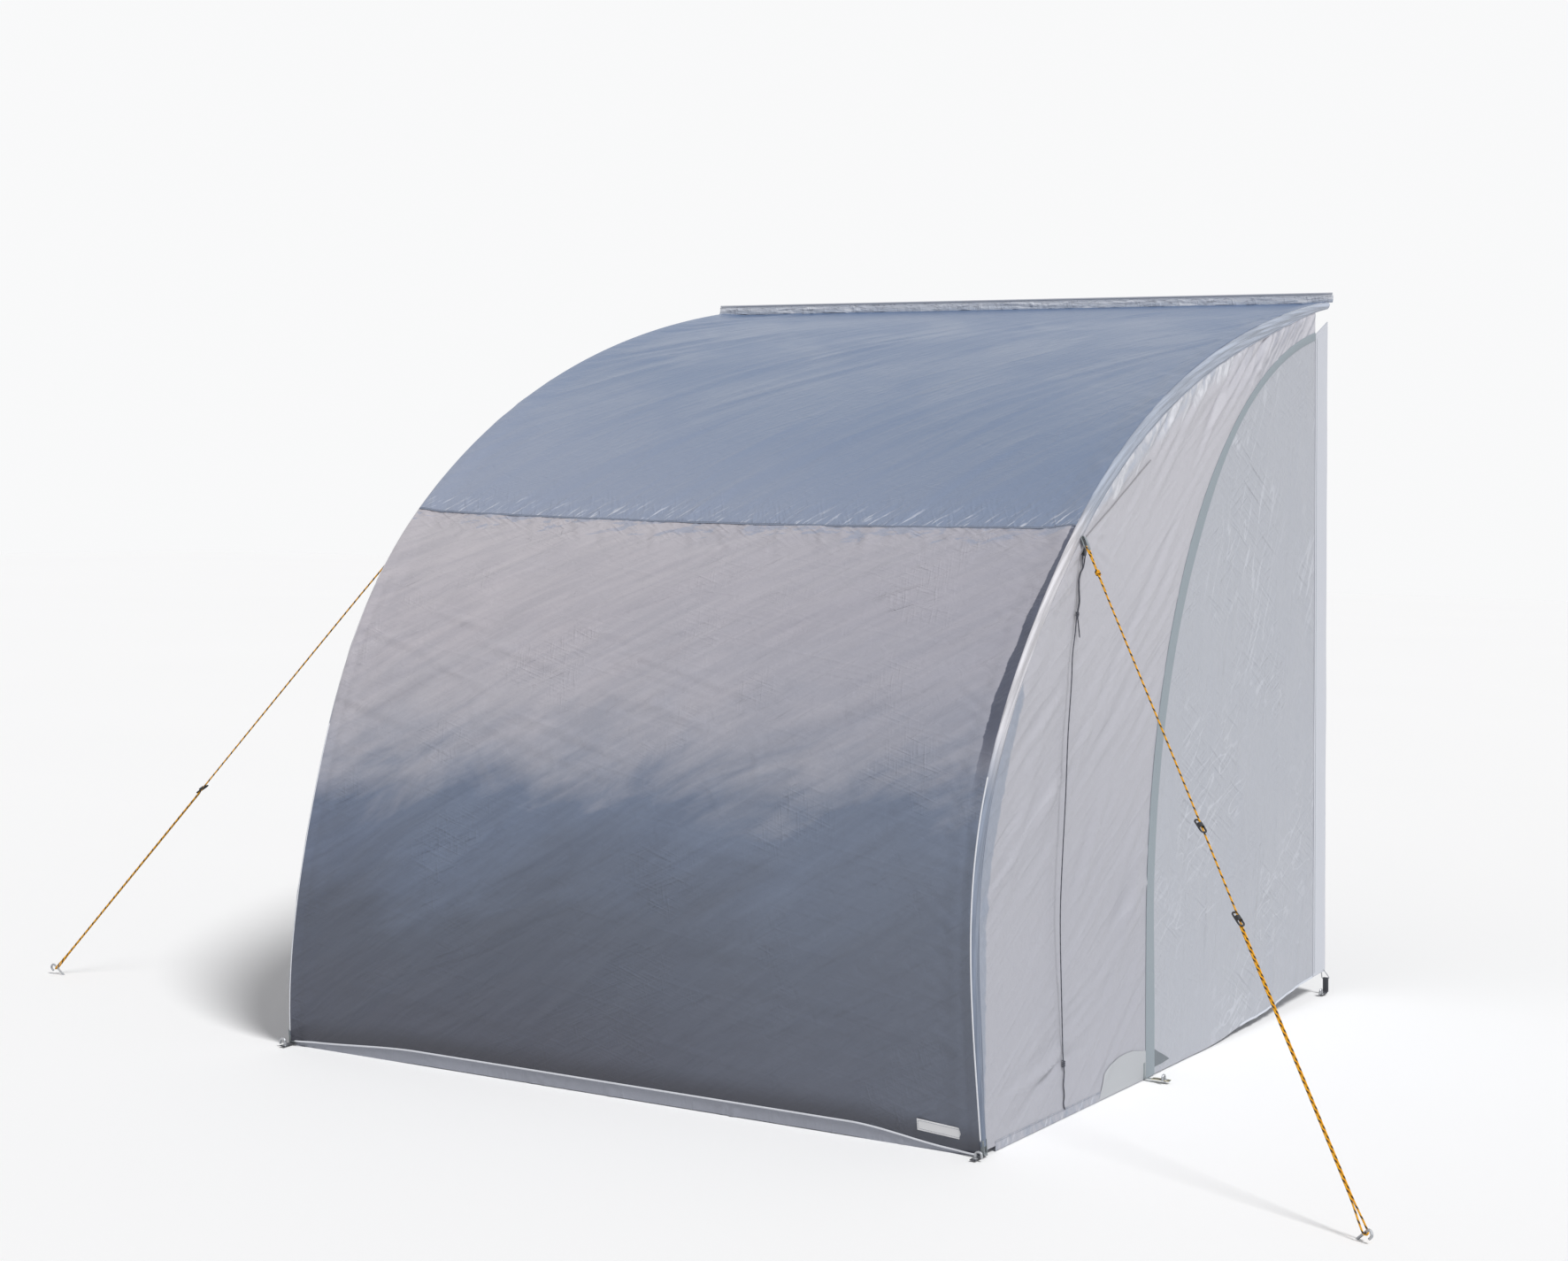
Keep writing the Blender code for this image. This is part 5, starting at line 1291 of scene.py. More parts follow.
def makeFront():
    draw = np.random.default_rng(frontLook["seed"])
    width, length = frontWidth, frontLength
    lines = []
    # Gathers below the felled seam
    for number in range(frontLook["seamGathers"]):
        x = (number + draw.uniform(0.1, 0.9)) * width / frontLook["seamGathers"]
        lean = math.radians(draw.choice((58, 118)) + draw.uniform(-18, 18))
        start = creaseFrom(x, 0.006, lean, draw.uniform(0.04, 0.15), 0.42)
        lines.append((*start, draw.uniform(0.005, 0.010), draw.uniform(0.0008, 0.0026)))
    lines += scatterLines(
        draw, 54, (0, width), (0.05, 0.85), (-40, -20), (0.15, 0.60), (0.014, 0.034), (0.0016, 0.0052),
    )
    lines += scatterLines(
        draw, 60, (0, width), (0.03, 0.75), (-46, -22), (0.08, 0.25), (0.009, 0.014), (0.0010, 0.0028),
    )
    lines += scatterLines(
        draw, 14, (0, 1.1), (0.30, 0.75), (8, 22), (0.20, 0.50), (0.008, 0.012), (0.0012, 0.0026),
    )
    lines += scatterLines(
        draw, 16, (0.2, width), (0.45, 0.85), (48, 74), (0.04, 0.12), (0.006, 0.009), (0.0008, 0.0016),
    )
    lines += scatterLines(
        draw, 26, (0, width), (0.85, length), (-6, 10), (0.20, 0.70), (0.010, 0.022), (0.0005, 0.0014),
    )
    # Gathers beside both sleeves, which rise away from them
    for number in range(frontLook["edgeGathers"]):
        y = 0.05 + (number + draw.uniform(0, 1)) * (length - 0.08) / frontLook["edgeGathers"]
        for x, base, way in ((frontLook["edge"], 148.0, 1), (width - frontLook["edge"], 32.0, -1)):
            lean = math.radians(base + draw.uniform(-26, 20))
            reach = draw.uniform(0.05, 0.15)
            middle = x + way * reach * 0.42 * abs(math.cos(lean)), y - reach * 0.3
            lines.append((*middle, lean, reach, draw.uniform(0.004, 0.009), draw.uniform(0.0005, 0.0018)))
    waves = drawWaves(draw, 6, (0.3, 0.8))

    def place(s, t):
        way = (t - 0.28 * t * (1 - t)) * length
        dipped = seamWay + way + hemDip(s) * smoothStep(way, length - 0.35, length)
        points = sheetAt(dipped, s, overPole(s))
        return points, np.stack((s * width, way), 1)

    def relief(x, y):
        high = creaseHeights(x, y, lines) + swell(x, y, waves, 0.004)
        rim = np.minimum(x, width - x)
        gutter = frontLook["gutter"] * np.exp(-(((rim - 0.024) / 0.011) ** 2)) * smoothStep(y, 0.05, 0.35)
        return high * edgeFade(x, width, y, length, 0.012) - gutter

    columns, rows = frontLook["columns"], frontLook["rows"]
    piece = gridPiece("front_cloth", columns, rows, place, (0.0, -1.0, 0.3), relief, frontLook["wall"])
    finishUp(piece, "front", "tent", ("front_panel",))


def makeFlap():
    draw = np.random.default_rng(31)
    size = {"overlap": 0.014, "bottom": 0.003, "lift": -0.0002, "flare": 0.004, "wall": 0.0008}
    piping = {"radius": 0.0022, "lift": 0.0016, "back": 0.001}
    width = frontWidth
    top, low = hemWay - size["overlap"], atHeight(size["bottom"])
    lines = scatterLines(
        draw, 60, (0, width), (0.0, 0.04), (50, 130), (0.02, 0.05), (0.004, 0.010), (0.0006, 0.0022),
    )

    def place(s, t):
        way = np.minimum(top + t * (low - top) + hemDip(s) * 0.8, poleLength - 0.001)
        points = sheetAt(way, s, np.full_like(s, size["lift"]) + size["flare"] * t, tent["sheetEdge"])
        return points, np.stack((s * width, t * (low - top)), 1)

    def relief(x, y):
        return creaseHeights(x, y, lines) * smoothStep(y, 0.01, 0.03) * edgeFade(x, width)

    piece = gridPiece("ground_flap", 260, 8, place, (0.0, -1.0, 0.0), relief, size["wall"])
    finishUp(piece, "flap", "tent", ("mud_flap",))
    share = np.linspace(0.004, 0.996, 240)
    way = hemWay + hemDip(share) - piping["back"]
    path = sheetAt(way, share, overPole(share) + piping["lift"])
    finishUp(tubePiece("hem_piping", path, piping["radius"], 8), "piping", "tent")


def makeSeams():
    # The felled seam between roof and front, with its two rows of stitches
    seam = {
        "wobble": 0.0010,
        "lift": 0.0010,
        "width": 0.0062,
        "wall": 0.0007,
        "row": 0.0022,
        "stitch": 0.0042,
    }
    share = np.linspace(0.0, 1.0, 240)
    draw = np.random.default_rng(41)
    wobble = seam["wobble"] * np.interp(share, np.linspace(0, 1, 41), draw.uniform(-1, 1, 41))
    middle = sheetAt(seamWay + wobble, share, overPole(share) + seam["lift"])
    normal = poleAt(np.array(seamWay))[1]
    along, up = sideFrames[1][1], sideFrames[1][2]
    face = normal[0] * along + normal[1] * up
    downhill = unit(np.cross(face, (1.0, 0.0, 0.0)))
    piece = ribbonPiece("felled_seam", middle, downhill, seam["width"], seam["wall"], 4, 0.006, face)
    finishUp(piece, "seam", "tent")
    for number, shift in enumerate((-seam["row"], seam["row"])):
        path = middle + downhill * shift + face * seam["wall"]
        stitchRow(f"felled_stitches_{number}", path, seam["stitch"], face)


makeRoof()
makeFront()
makeFlap()
makeSeams()
print("roof and front ready")


# Sleeves, with the white piping beside their lower half
def finReach(way):
    # The sleeve's flat edge narrows under the rail and towards the foot
    top = 1 - smoothStep(way, 0.0, 0.55)
    foot = smoothStep(way, atHeight(0.30), atHeight(sleeve["footHeight"]))
    return sleeve["fin"] * (1 - 0.62 * top - 0.50 * foot)


def makeSleeve(side):
    word = words[side]
    draw = np.random.default_rng(53 + side)
    piping = {"top": 0.80, "low": 0.036, "lift": 0.0092, "outboard": 0.0016, "radius": 0.0018}
    first, last = sleeve["topSetback"], atHeight(sleeve["footHeight"])
    shoulder = math.radians(sleeve["shoulder"])
    turns = np.linspace(-shoulder, shoulder, 25)
    arc = np.stack((-np.cos(turns), np.sin(turns)), 1) * sleeve["radius"]
    half = sleeve["finThickness"] / 2
    run = np.linspace(0.0, 1.0, 9)[1:, None]
    upper = arc[-1] + (np.array((sleeve["fin"], half)) - arc[-1]) * run
    lower = (upper * (1, -1))[::-1]
    profile = np.concatenate((arc, upper, lower, arc[:1]))
    around = runningLengths(profile)
    count = len(profile)
    flat = around[len(arc) + 1], around[len(arc) + len(upper) - 1]
    lines = scatterLines(
        draw, 90, (0, around[-1]), (0, last), (78, 102), (0.04, 0.22), (0.0016, 0.0038), (0.0003, 0.0010),
    )
    lines += scatterLines(
        draw, 210, flat, (0, last), (-25, 25), (0.008, 0.020), (0.0014, 0.0030), (0.0002, 0.0008),
    )

    def place(s, t):
        index = np.rint(s * (count - 1)).astype(int)
        way = first + t * (last - first)
        centre, normal, inboard = poleAt(way)
        depth, rise = profile[index, 0], profile[index, 1]
        neck = sleeve["neck"]
        stretch = (finReach(way) - neck) / (sleeve["fin"] - neck)
        depth = np.where(depth > neck, neck + (depth - neck) * stretch, depth)
        spot = centre - normal * depth[:, None]
        points = sidePoint(side, spot[:, 0], spot[:, 1], inboard + rise)
        middle = centre - normal * np.clip(depth, 0.0, sleeve["fin"])[:, None] * 0.9
        away = points - sidePoint(side, middle[:, 0], middle[:, 1], inboard)
        return points, np.stack((around[index], way), 1), away

    def relief(x, y):
        return creaseHeights(x, y, lines) * smoothStep(np.minimum(x, around[-1] - x), 0.0, 0.004)

    piece = gridPiece(f"sleeve_{word}", count - 1, 420, place, None, relief, sleeve["wall"], -1.0, True)
    finishUp(piece, "sleeve", "tent", (f"pole_sleeve_{word}",))
    way = np.linspace(atHeight(piping["top"]), atHeight(piping["low"]), 160)
    centre, normal, inboard = poleAt(way)
    spot = centre + normal * piping["lift"]
    path = sidePoint(side, spot[:, 0], spot[:, 1], inboard - piping["outboard"])
    finishUp(tubePiece(f"edge_piping_{word}", path, piping["radius"], 8), "piping", "tent")
    way = np.linspace(0.10, atHeight(0.06), 420)
    centre, normal, inboard = poleAt(way)
    spot = centre - normal * (finReach(way) - 0.0035)[:, None]
    path = sidePoint(side, spot[:, 0], spot[:, 1], inboard - sleeve["finThickness"] / 2 - 0.0012)
    stitchRow(f"sleeve_stitches_{word}", path, sleeve["pitch"], outboard(side))


# Side panels, doors, storm flaps and wall strips
zipShape = {
    "top": 1.862,
    "handle": (0.789, 1.724),
    "front": 1.255,
    "knee": 0.360,
    "kneeReach": 0.776,
    "stripWidth": 0.100,
    "opening": 0.0065,
    "hem": 0.012,
    "doorRear": 0.048,
    "tapeInboard": 0.0015,
    "tapeWidth": 0.012,
    "flapFront": 0.0145,
    "flapRear": 0.0285,
    "flapFlare": (0.003, 0.006),
    "flapTaper": (0.0050, 0.0165),
    "flapLow": 0.003,
    "flapLift": 0.0011,
    "flapBulge": 0.0008,
    "coilPitch": 0.0032,
    "coilSize": (0.0010, 0.0009),
    "coilWire": 0.00038,
    "coilInset": 0.0017,
}
doorEdge = np.array((
    (0.100, 0.0610), (0.200, 0.0560), (0.300, 0.0455), (0.400, 0.0340), (0.456, 0.0280), (0.535, 0.0245),
    (0.612, 0.0235), (0.687, 0.0190), (0.761, 0.0110), (0.834, 0.0060), (0.905, 0.0040), (1.250, 0.0030),
))
zipCurve = np.array((
    (zipShape["stripWidth"], zipShape["top"]),
    zipShape["handle"],
    (zipShape["front"], zipShape["knee"] + zipShape["kneeReach"]),
    (zipShape["front"], zipShape["knee"]),
))


def zipLine(distance, low, setback=0.0005):
    # A line beside the zip, from the wall strip down to a height
    share = np.linspace(0.0, 1.0, 121)
    points = bezier(zipCurve, share) + bezierNormal(zipCurve, share) * distance
    start = zipShape["stripWidth"] + setback
    first = np.array((start, np.interp(start, points[:, 0], points[:, 1])))
    points = points[points[:, 0] > start + 0.002]
    straight = np.linspace(zipShape["knee"], low, 30)[1:]
    end = np.stack((np.full_like(straight, zipShape["front"] + distance), straight), 1)
    return np.concatenate((first[None], points, end))


def alongLine(points, share):
    # Points at these shares of a line's length
    ways = runningLengths(points)
    return np.stack([np.interp(share * ways[-1], ways, points[:, axis]) for axis in (0, 1)], -1)


guySeam = [(1.616, 1.312), (1.530, 1.352), (1.400, 1.416), (1.245, 1.493)]
sideLook = {
    "columns": 88,
    "rows": 430,
    "wall": 0.0007,
    "fan": 46,
    "cornerFan": 11,
    "puckers": 150,
    "footFan": 13,
    "star": 9,
}


def sideCreases(draw):
    fan = []
    # Gathers that run from the sleeve down and forward
    for number in range(sideLook["fan"]):
        way = 0.16 + 1.75 * (number + draw.uniform(0.0, 1.0)) / sideLook["fan"]
        centre, normal = poleAt(np.array(way))[:2]
        lean = math.radians(draw.uniform(-46, -28))
        reach = draw.uniform(0.16, 0.62) * (0.55 + 0.45 * min(1.0, way))
        start = creaseFrom(*(centre - normal * finReach(way)), lean, reach, 0.44)
        width = draw.uniform(0.007, 0.016)
        height = draw.uniform(0.0030, 0.0085) * (1.15 - 0.72 * min(1.0, way / 1.5))
        fan.append((*start, width, height))
    # Deeper ones in the top corner, beside the wall strip
    for number in range(sideLook["cornerFan"]):
        lean = math.radians(draw.uniform(-50, -38))
        reach = draw.uniform(0.14, 0.42)
        start = creaseFrom(0.11 + 0.034 * number, 1.915 - 0.008 * number, lean, reach, 0.4)
        fan.append((*start, draw.uniform(0.008, 0.013), draw.uniform(0.0060, 0.0120)))
    # Short puckers along the sleeve's stitches
    for number in range(sideLook["puckers"]):
        way = 0.2 + (poleLength - 0.3) * (number + draw.uniform(0.0, 1.0)) / sideLook["puckers"]
        centre, normal = poleAt(np.array(way))[:2]
        lean = math.atan2(-normal[1], -normal[0]) + math.radians(draw.uniform(-34, 34))
        reach = draw.uniform(0.018, 0.055)
        start = creaseFrom(*(centre - normal * (finReach(way) - 0.002)), lean, reach, 0.45)
        fan.append((*start, draw.uniform(0.0035, 0.0065), draw.uniform(0.0005, 0.0015)))
    # Long slack lines over the whole side, and creases that rise gently from the foot
    fan += scatterLines(
        draw, 44, (0.9, 2.0), (0.1, 1.5), (-48, -28), (0.35, 1.0), (0.008, 0.018), (0.0012, 0.0036),
    )
    fan += scatterLines(
        draw, 10, (1.30, 1.95), (0.25, 0.95), (-66, -50), (0.30, 0.7), (0.014, 0.030), (0.0026, 0.0060),
    )
    for number in range(sideLook["footFan"]):
        lean = math.radians(180 - draw.uniform(3, 24))
        start = creaseFrom(2.04, 0.03 + 0.010 * number, lean, draw.uniform(0.22, 0.62), 0.5)
        fan.append((*start, draw.uniform(0.007, 0.012), draw.uniform(0.0022, 0.0050)))
    # Star creases round the guy point
    for number in range(sideLook["star"]):
        lean = math.radians(150 + 24 * number + draw.uniform(-8, 8))
        start = creaseFrom(*guySeam[0], lean, draw.uniform(0.07, 0.20), 0.5)
        fan.append((*start, draw.uniform(0.004, 0.008), draw.uniform(0.0008, 0.0018)))
    return fan


def makeSidePanel(side):
    word = words[side]
    draw = np.random.default_rng(71 + side)
    fan = sideCreases(draw)
    spread = np.linspace(0.0, poleLength, 1200)
    centre, normal, inboard = poleAt(spread)
    line = centre - normal * (finReach(spread) - 0.003)[:, None]
    good = (line[:, 0] > zipShape["stripWidth"] + 0.0005) & (line[:, 1] > zipShape["hem"])
    firstWay, lastWay = spread[good][0], spread[good][-1]
    mateLine = zipLine(zipShape["opening"], zipShape["hem"])

    def place(s, t):
        way = firstWay + t * (lastWay - firstWay)
        centre, normal, inboard = poleAt(way)
        start = centre - normal * (finReach(way) - 0.003)[:, None]
        mate = alongLine(mateLine, t)
        flat = start + (mate - start) * s[:, None]
        return sidePoint(side, flat[:, 0], flat[:, 1], inboard * (1 - s)), flat

    waves = drawWaves(draw, 5, (0.25, 0.7))
    cordLine = smoothRoute([np.array(spot) for spot in (*cordDoubled, *cordHang)], 0.02)
    cordLine = np.concatenate((cordLine, smoothRoute(guySeam, 0.02)))
    sleeveLine = alongLine(np.array(line[good]), np.linspace(0, 1, 400))

    def relief(x, y):
        high = creaseHeights(x, y, fan) + swell(x, y, waves, 0.0028)
        fade = smoothStep(farFrom(x, y, mateLine[::4]), 0.018, 0.075)
        fade = fade * smoothStep(farFrom(x, y, sleeveLine), 0.002, 0.012)
        fade = fade * (0.15 + 0.85 * smoothStep(farFrom(x, y, cordLine), 0.002, 0.035))
        return high * fade * smoothStep(y, zipShape["hem"] - 0.002, 0.05)

    def doubled(x, y):
        # How far a point lies inside the doubled cloth beside the sleeve
        heights = (0.0, 0.14, 0.37, 0.68, 0.80, 0.95, 1.08)
        width = np.interp(y, heights, (0.0, 0.012, 0.033, 0.049, 0.046, 0.026, -0.02))
        return width - farFrom(x, y, sleeveLine)

    def crumpled(x, y):
        # And how far inside the crumpled cloth above it
        width = np.interp(y, (1.34, 1.42, 1.58, 1.74, 1.84), (0.0, 0.050, 0.060, 0.036, -0.03))
        return np.where(y < 1.34, -0.1, width - farFrom(x, y, sleeveLine))

    marks = {"doubled": doubled, "crumpled": crumpled}
    columns, rows, wall = sideLook["columns"], sideLook["rows"], sideLook["wall"]
    piece = gridPiece(f"side_cloth_{word}", columns, rows, place, outboard(side), relief, wall, marks=marks)
    finishUp(piece, "side", "tent", (f"side_panel_{word}",))
    sideTrim(side, relief)


def flatPatch(name, side, edges, grid, finish, body, relief, wall=0.0006, lift=0.0009):
    # A patch between two lines of (u, v) points, lying on the cloth's outer face
    low, high = (np.array(edge) for edge in edges)
    columns, rows = grid

    def place(s, t):
        bottom, top = alongLine(low, s), alongLine(high, s)
        flat = bottom + (top - bottom) * t[:, None]
        return sidePoint(side, flat[:, 0], flat[:, 1], -lift - relief(flat[:, 0], flat[:, 1])), flat

    piece = gridPiece(name, columns, rows, place, outboard(side), None, wall)
    return finishUp(piece, finish, body)


def sideTrim(side, relief):
    word, out = words[side], outboard(side)
    hem = {"front": 1.262, "rear": 2.07, "low": 0.0015, "high": 0.0225, "stitches": 0.020, "pitch": 0.0045}
    # Pale corner patch beside the zip's foot
    corner = (1.274, 1.347, 1.389, 1.429, 1.478, 1.513, 1.541)
    u = np.linspace(corner[0], corner[-1], 28)
    top = np.interp(u, corner, (0.070, 0.083, 0.085, 0.083, 0.076, 0.059, 0.005))
    edges = [(x, 0.003) for x in u], list(zip(u, top))
    flatPatch(f"corner_patch_{word}", side, edges, (40, 14), "patch", "tent", relief, 0.0006, 0.0018)
    # Hem that hangs to the ground along the bottom edge
    edges = [[(hem["front"], height), (hem["rear"], height)] for height in (hem["low"], hem["high"])]
    flatPatch(f"side_hem_{word}", side, edges, (180, 5), "side", "tent", relief, 0.0010)
    edge = np.linspace(hem["front"], hem["rear"], 90)
    height = np.full_like(edge, hem["stitches"])
    path = sidePoint(side, edge, height, -0.0016 - relief(edge, height))
    stitchRow(f"hem_stitches_{word}", path, hem["pitch"], out)
    # Fine seam from the guy point up and back
    seam = smoothRoute(guySeam, 0.01)
    path = sidePoint(side, seam[:, 0], seam[:, 1], -0.0017 - relief(seam[:, 0], seam[:, 1]))
    across = np.cross(path[-1] - path[0], out)
    piece = ribbonPiece(f"guy_seam_{word}", path, unit(across), 0.0024, 0.0010, 2, 0.006, out)
    finishUp(piece, "guySeam", "tent")


def makeDoor(side):
    word, body = words[side], f"door_{words[side]}"
    draw = np.random.default_rng(97 + side)
    frontLine = zipLine(-zipShape["opening"], zipShape["hem"])
    rear = zipShape["stripWidth"] + 0.0005
    topHeight = frontLine[0, 1]
    # Folds that hang, puckers beside the zip, and a few creases low down
    lines = scatterLines(
        draw, 46, (0.1, 1.25), (0.1, 1.7), (-104, -72), (0.25, 0.9), (0.010, 0.024), (0.0008, 0.0024),
    )
    lines += scatterLines(
        draw, 30, (0.95, 1.25), (0.05, 1.1), (100, 140), (0.06, 0.20), (0.005, 0.010), (0.0006, 0.0018),
    )
    lines += scatterLines(
        draw, 12, (0.3, 1.2), (0.02, 0.35), (150, 174), (0.20, 0.5), (0.008, 0.016), (0.0006, 0.0016),
    )

    def place(s, t):
        mate = alongLine(frontLine, t)
        height = topHeight + (zipShape["doorRear"] - topHeight) * t
        start = np.stack((np.full_like(t, rear), height), 1)
        flat = start + (mate - start) * s[:, None]
        straight = np.interp(flat[:, 0], (rear, frontLine[-1, 0]), (zipShape["doorRear"], zipShape["hem"]))
        flat[:, 1] += (np.interp(flat[:, 0], *doorEdge.T) - straight) * smoothStep(t, 0.55, 1.0)
        return sidePoint(side, flat[:, 0], flat[:, 1]), flat

    waves = drawWaves(draw, 5, (0.3, 0.8))

    def relief(x, y):
        high = creaseHeights(x, y, lines) + swell(x, y, waves, 0.0030)
        high = high * smoothStep(farFrom(x, y, frontLine[::4]), 0.018, 0.07)
        return high * smoothStep(x - rear, 0.0, 0.03)

    piece = gridPiece(f"door_cloth_{word}", 118, 168, place, outboard(side), relief, 0.0007, weld=True)
    finishUp(piece, "door", body, (f"door_panel_{word}",))
    edges = [(1.2395, 0.0195), (1.128, 0.0235)], [(1.2395, 0.073), (1.128, 0.0245)]
    flatPatch(f"door_patch_{word}", side, edges, (30, 14), "darkPatch", body, relief)
    # the door's rolled hem towards the wall, painted pale as a highlight
    edge = np.linspace(0.104, 0.66, 60)
    height = np.interp(edge, *doorEdge.T)
    edges = list(zip(edge, height - 0.0005)), list(zip(edge, height + 0.0055))
    flatPatch(f"door_hem_{word}", side, edges, (110, 3), "hemHighlight", body, relief, 0.0010, 0.0010)
    makeStormFlap(side, body)


def makeStormFlap(side, body):
    word = words[side]
    width = zipShape["flapFront"] + zipShape["flapRear"]
    front = zipLine(zipShape["flapFront"], zipShape["flapLow"], 0.003)
    rear = zipLine(-zipShape["flapRear"], zipShape["flapLow"], 0.003)
    draw = np.random.default_rng(131 + side)

    def place(s, t):
        first, second = alongLine(front, t), alongLine(rear, t)
        # It is narrow along the top of the zip, and widens towards its foot
        narrow = smoothStep(first[:, 1], 1.30, 1.68)[:, None]
        inward = (second - first) / width
        first = first + inward * narrow * zipShape["flapTaper"][0]
        second = second - inward * narrow * zipShape["flapTaper"][1]
        foot = smoothStep(-first[:, 1], -0.50, -0.15)
        first[:, 0] += zipShape["flapFlare"][0] * foot
        second[:, 0] -= zipShape["flapFlare"][1] * foot
        flat = second + (first - second) * s[:, None]
        bulge = zipShape["flapBulge"] * (1 - (2 * s - 1) ** 2)
        points = sidePoint(side, flat[:, 0], flat[:, 1], -zipShape["flapLift"] - bulge)
        return points, np.stack((s * width, t * 2.1), 1)

    waves = drawWaves(draw, 5, (0.12, 0.5))

    def relief(x, y):
        return swell(x * 6, y, waves, 0.0006) * smoothStep(np.minimum(x, width - x), 0.0, 0.004)

    piece = gridPiece(f"storm_cover_{word}", 10, 260, place, outboard(side), relief, 0.0010)
    finishUp(piece, "storm", body, (f"storm_flap_{word}",))


def makeZip(side):
    # Both halves: a tape with a coil along its inner edge
    word, step, perTurn = words[side], 0.008, 6
    for name, towards, low, body in (("fixed", 1, 0.012, "tent"), ("door", -1, 0.068, f"door_{word}")):
        line = resample(zipLine(0.0, low, 0.004), step)
        way = np.gradient(line, axis=0)
        way = way / np.linalg.norm(way, axis=1, keepdims=True)
        normal = np.stack((-way[:, 1], way[:, 0]), 1) * towards
        middle = line + normal * (0.0007 + zipShape["tapeWidth"] / 2)
        path = sidePoint(side, middle[:, 0], middle[:, 1], zipShape["tapeInboard"])
        along, up, across = sideFrames[side][1:]
        sideways = normal[:, :1] * along + normal[:, 1:] * up
        count = len(path)

        def place(s, t):
            ring = np.rint(t * (count - 1)).astype(int)
            points = path[ring] + sideways[ring] * ((s - 0.5) * zipShape["tapeWidth"])[:, None]
            return points, np.stack((s * zipShape["tapeWidth"], ring * step), 1)

        tape = gridPiece(f"zip_{name}_tape_{word}", 3, count - 1, place, -outboard(side), None, 0.0007)
        finishUp(tape, "zipTape", body, (f"zip_{name}_half_{word}",))
        coilLine = line + normal * zipShape["coilInset"]
        spine = sidePoint(side, coilLine[:, 0], coilLine[:, 1], zipShape["tapeInboard"] + 0.0002)
        ways = runningLengths(spine)
        turnCount = int(ways[-1] / zipShape["coilPitch"])
        share = np.linspace(0.0, ways[-1], turnCount * perTurn + 1)
        centres = np.stack([np.interp(share, ways, spine[:, axis]) for axis in range(3)], 1)
        wide = np.stack([np.interp(share, ways, sideways[:, axis]) for axis in range(3)], 1)
        angle = np.arange(len(share)) * 2 * math.pi / perTurn + (math.pi if towards < 0 else 0.0)
        across = across * (np.sin(angle) * zipShape["coilSize"][1])[:, None]
        path = centres + wide * (np.cos(angle) * zipShape["coilSize"][0])[:, None] + across
        coil = tubePiece(f"zip_{name}_coil_{word}", path, zipShape["coilWire"], 4)
        finishUp(coil, "zipCoil", body)


def makeStrip(side):
    word = words[side]
    draw = np.random.default_rng(151 + side)
    rear, front = 0.003, zipShape["stripWidth"] - 0.0005
    size = {"rearLow": 0.0655, "rearTop": 1.908, "frontLow": 0.0615, "frontTop": 1.866, "stitches": 0.089}

    def place(s, t):
        u = rear + (front - rear) * s
        low = size["rearLow"] + (size["frontLow"] - size["rearLow"]) * s
        high = size["rearTop"] + (size["frontTop"] - size["rearTop"]) * s
        v = low + (high - low) * t
        return sidePoint(side, u, v, 0.0), np.stack((u, v), 1)

    waves = drawWaves(draw, 5, (0.15, 0.5))

    def relief(x, y):
        quilt = 0.0007 * np.sin(np.pi * (x - rear) / (front - rear))
        dips = 0.0008 * np.exp(-(((x - size["stitches"]) / 0.0018) ** 2))
        return quilt - dips + swell(x * 3, y, waves, 0.0008)

    piece = gridPiece(f"wall_band_{word}", 26, 190, place, outboard(side), relief, 0.0030)
    finishUp(piece, "strip", "tent", (f"wall_strip_{word}",))
    height = np.linspace(size["frontLow"] + 0.01, size["frontTop"] - 0.01, 200)
    path = sidePoint(side, np.full_like(height, size["stitches"]), height, -0.0018)
    stitchRow(f"wall_band_stitches_{word}", path, 0.0042, outboard(side))


for side in words:
    makeSleeve(side)
    makeSidePanel(side)
    makeDoor(side)
    makeZip(side)
    makeStrip(side)
print("sides ready")


# Keder band, label and webbing
def makeBand():
    draw = np.random.default_rng(171)
    size = {"length": 2.006, "height": 0.024, "top": -0.0038}
    lines = scatterLines(
        draw, 70, (0, 2.0), (0.0, 0.026), (35, 145), (0.015, 0.045), (0.0025, 0.0060), (0.0004, 0.0018),
    )
    lines += scatterLines(
        draw, 24, (0, 2.0), (0.004, 0.022), (-12, 12), (0.05, 0.20), (0.0020, 0.0045), (0.0004, 0.0014),
    )
    spread = np.linspace(0, 1, 400)
    notch = np.interp(spread, np.linspace(0, 1, 90), draw.uniform(-0.0026, 0.0020, 90))

    def place(s, t):
        lower = size["top"] - size["height"] - np.interp(s, spread, notch)
        z = size["top"] + (lower - size["top"]) * t
        y = np.full_like(s, -0.0004) - 0.0052 * smoothStep(t, 0.5, 1.0)
        points = np.stack(((s - 0.5) * size["length"], y, z), 1)
        return points, np.stack((s * size["length"], t * size["height"]), 1)

    def relief(x, y):
        return creaseHeights(x, y, lines) * smoothStep(y, 0.0, 0.006)

    piece = gridPiece("rail_band", 420, 10, place, (0.0, -1.0, 0.0), relief, 0.0012)
    finishUp(piece, "band", "tent", ("keder_band",))
    path = np.stack((np.linspace(-0.99, 0.99, 500), np.full(500, -0.0026), np.full(500, -0.0238)), 1)
    stitchRow("band_stitches", path, 0.0046, (0.0, -1.0, 0.0))


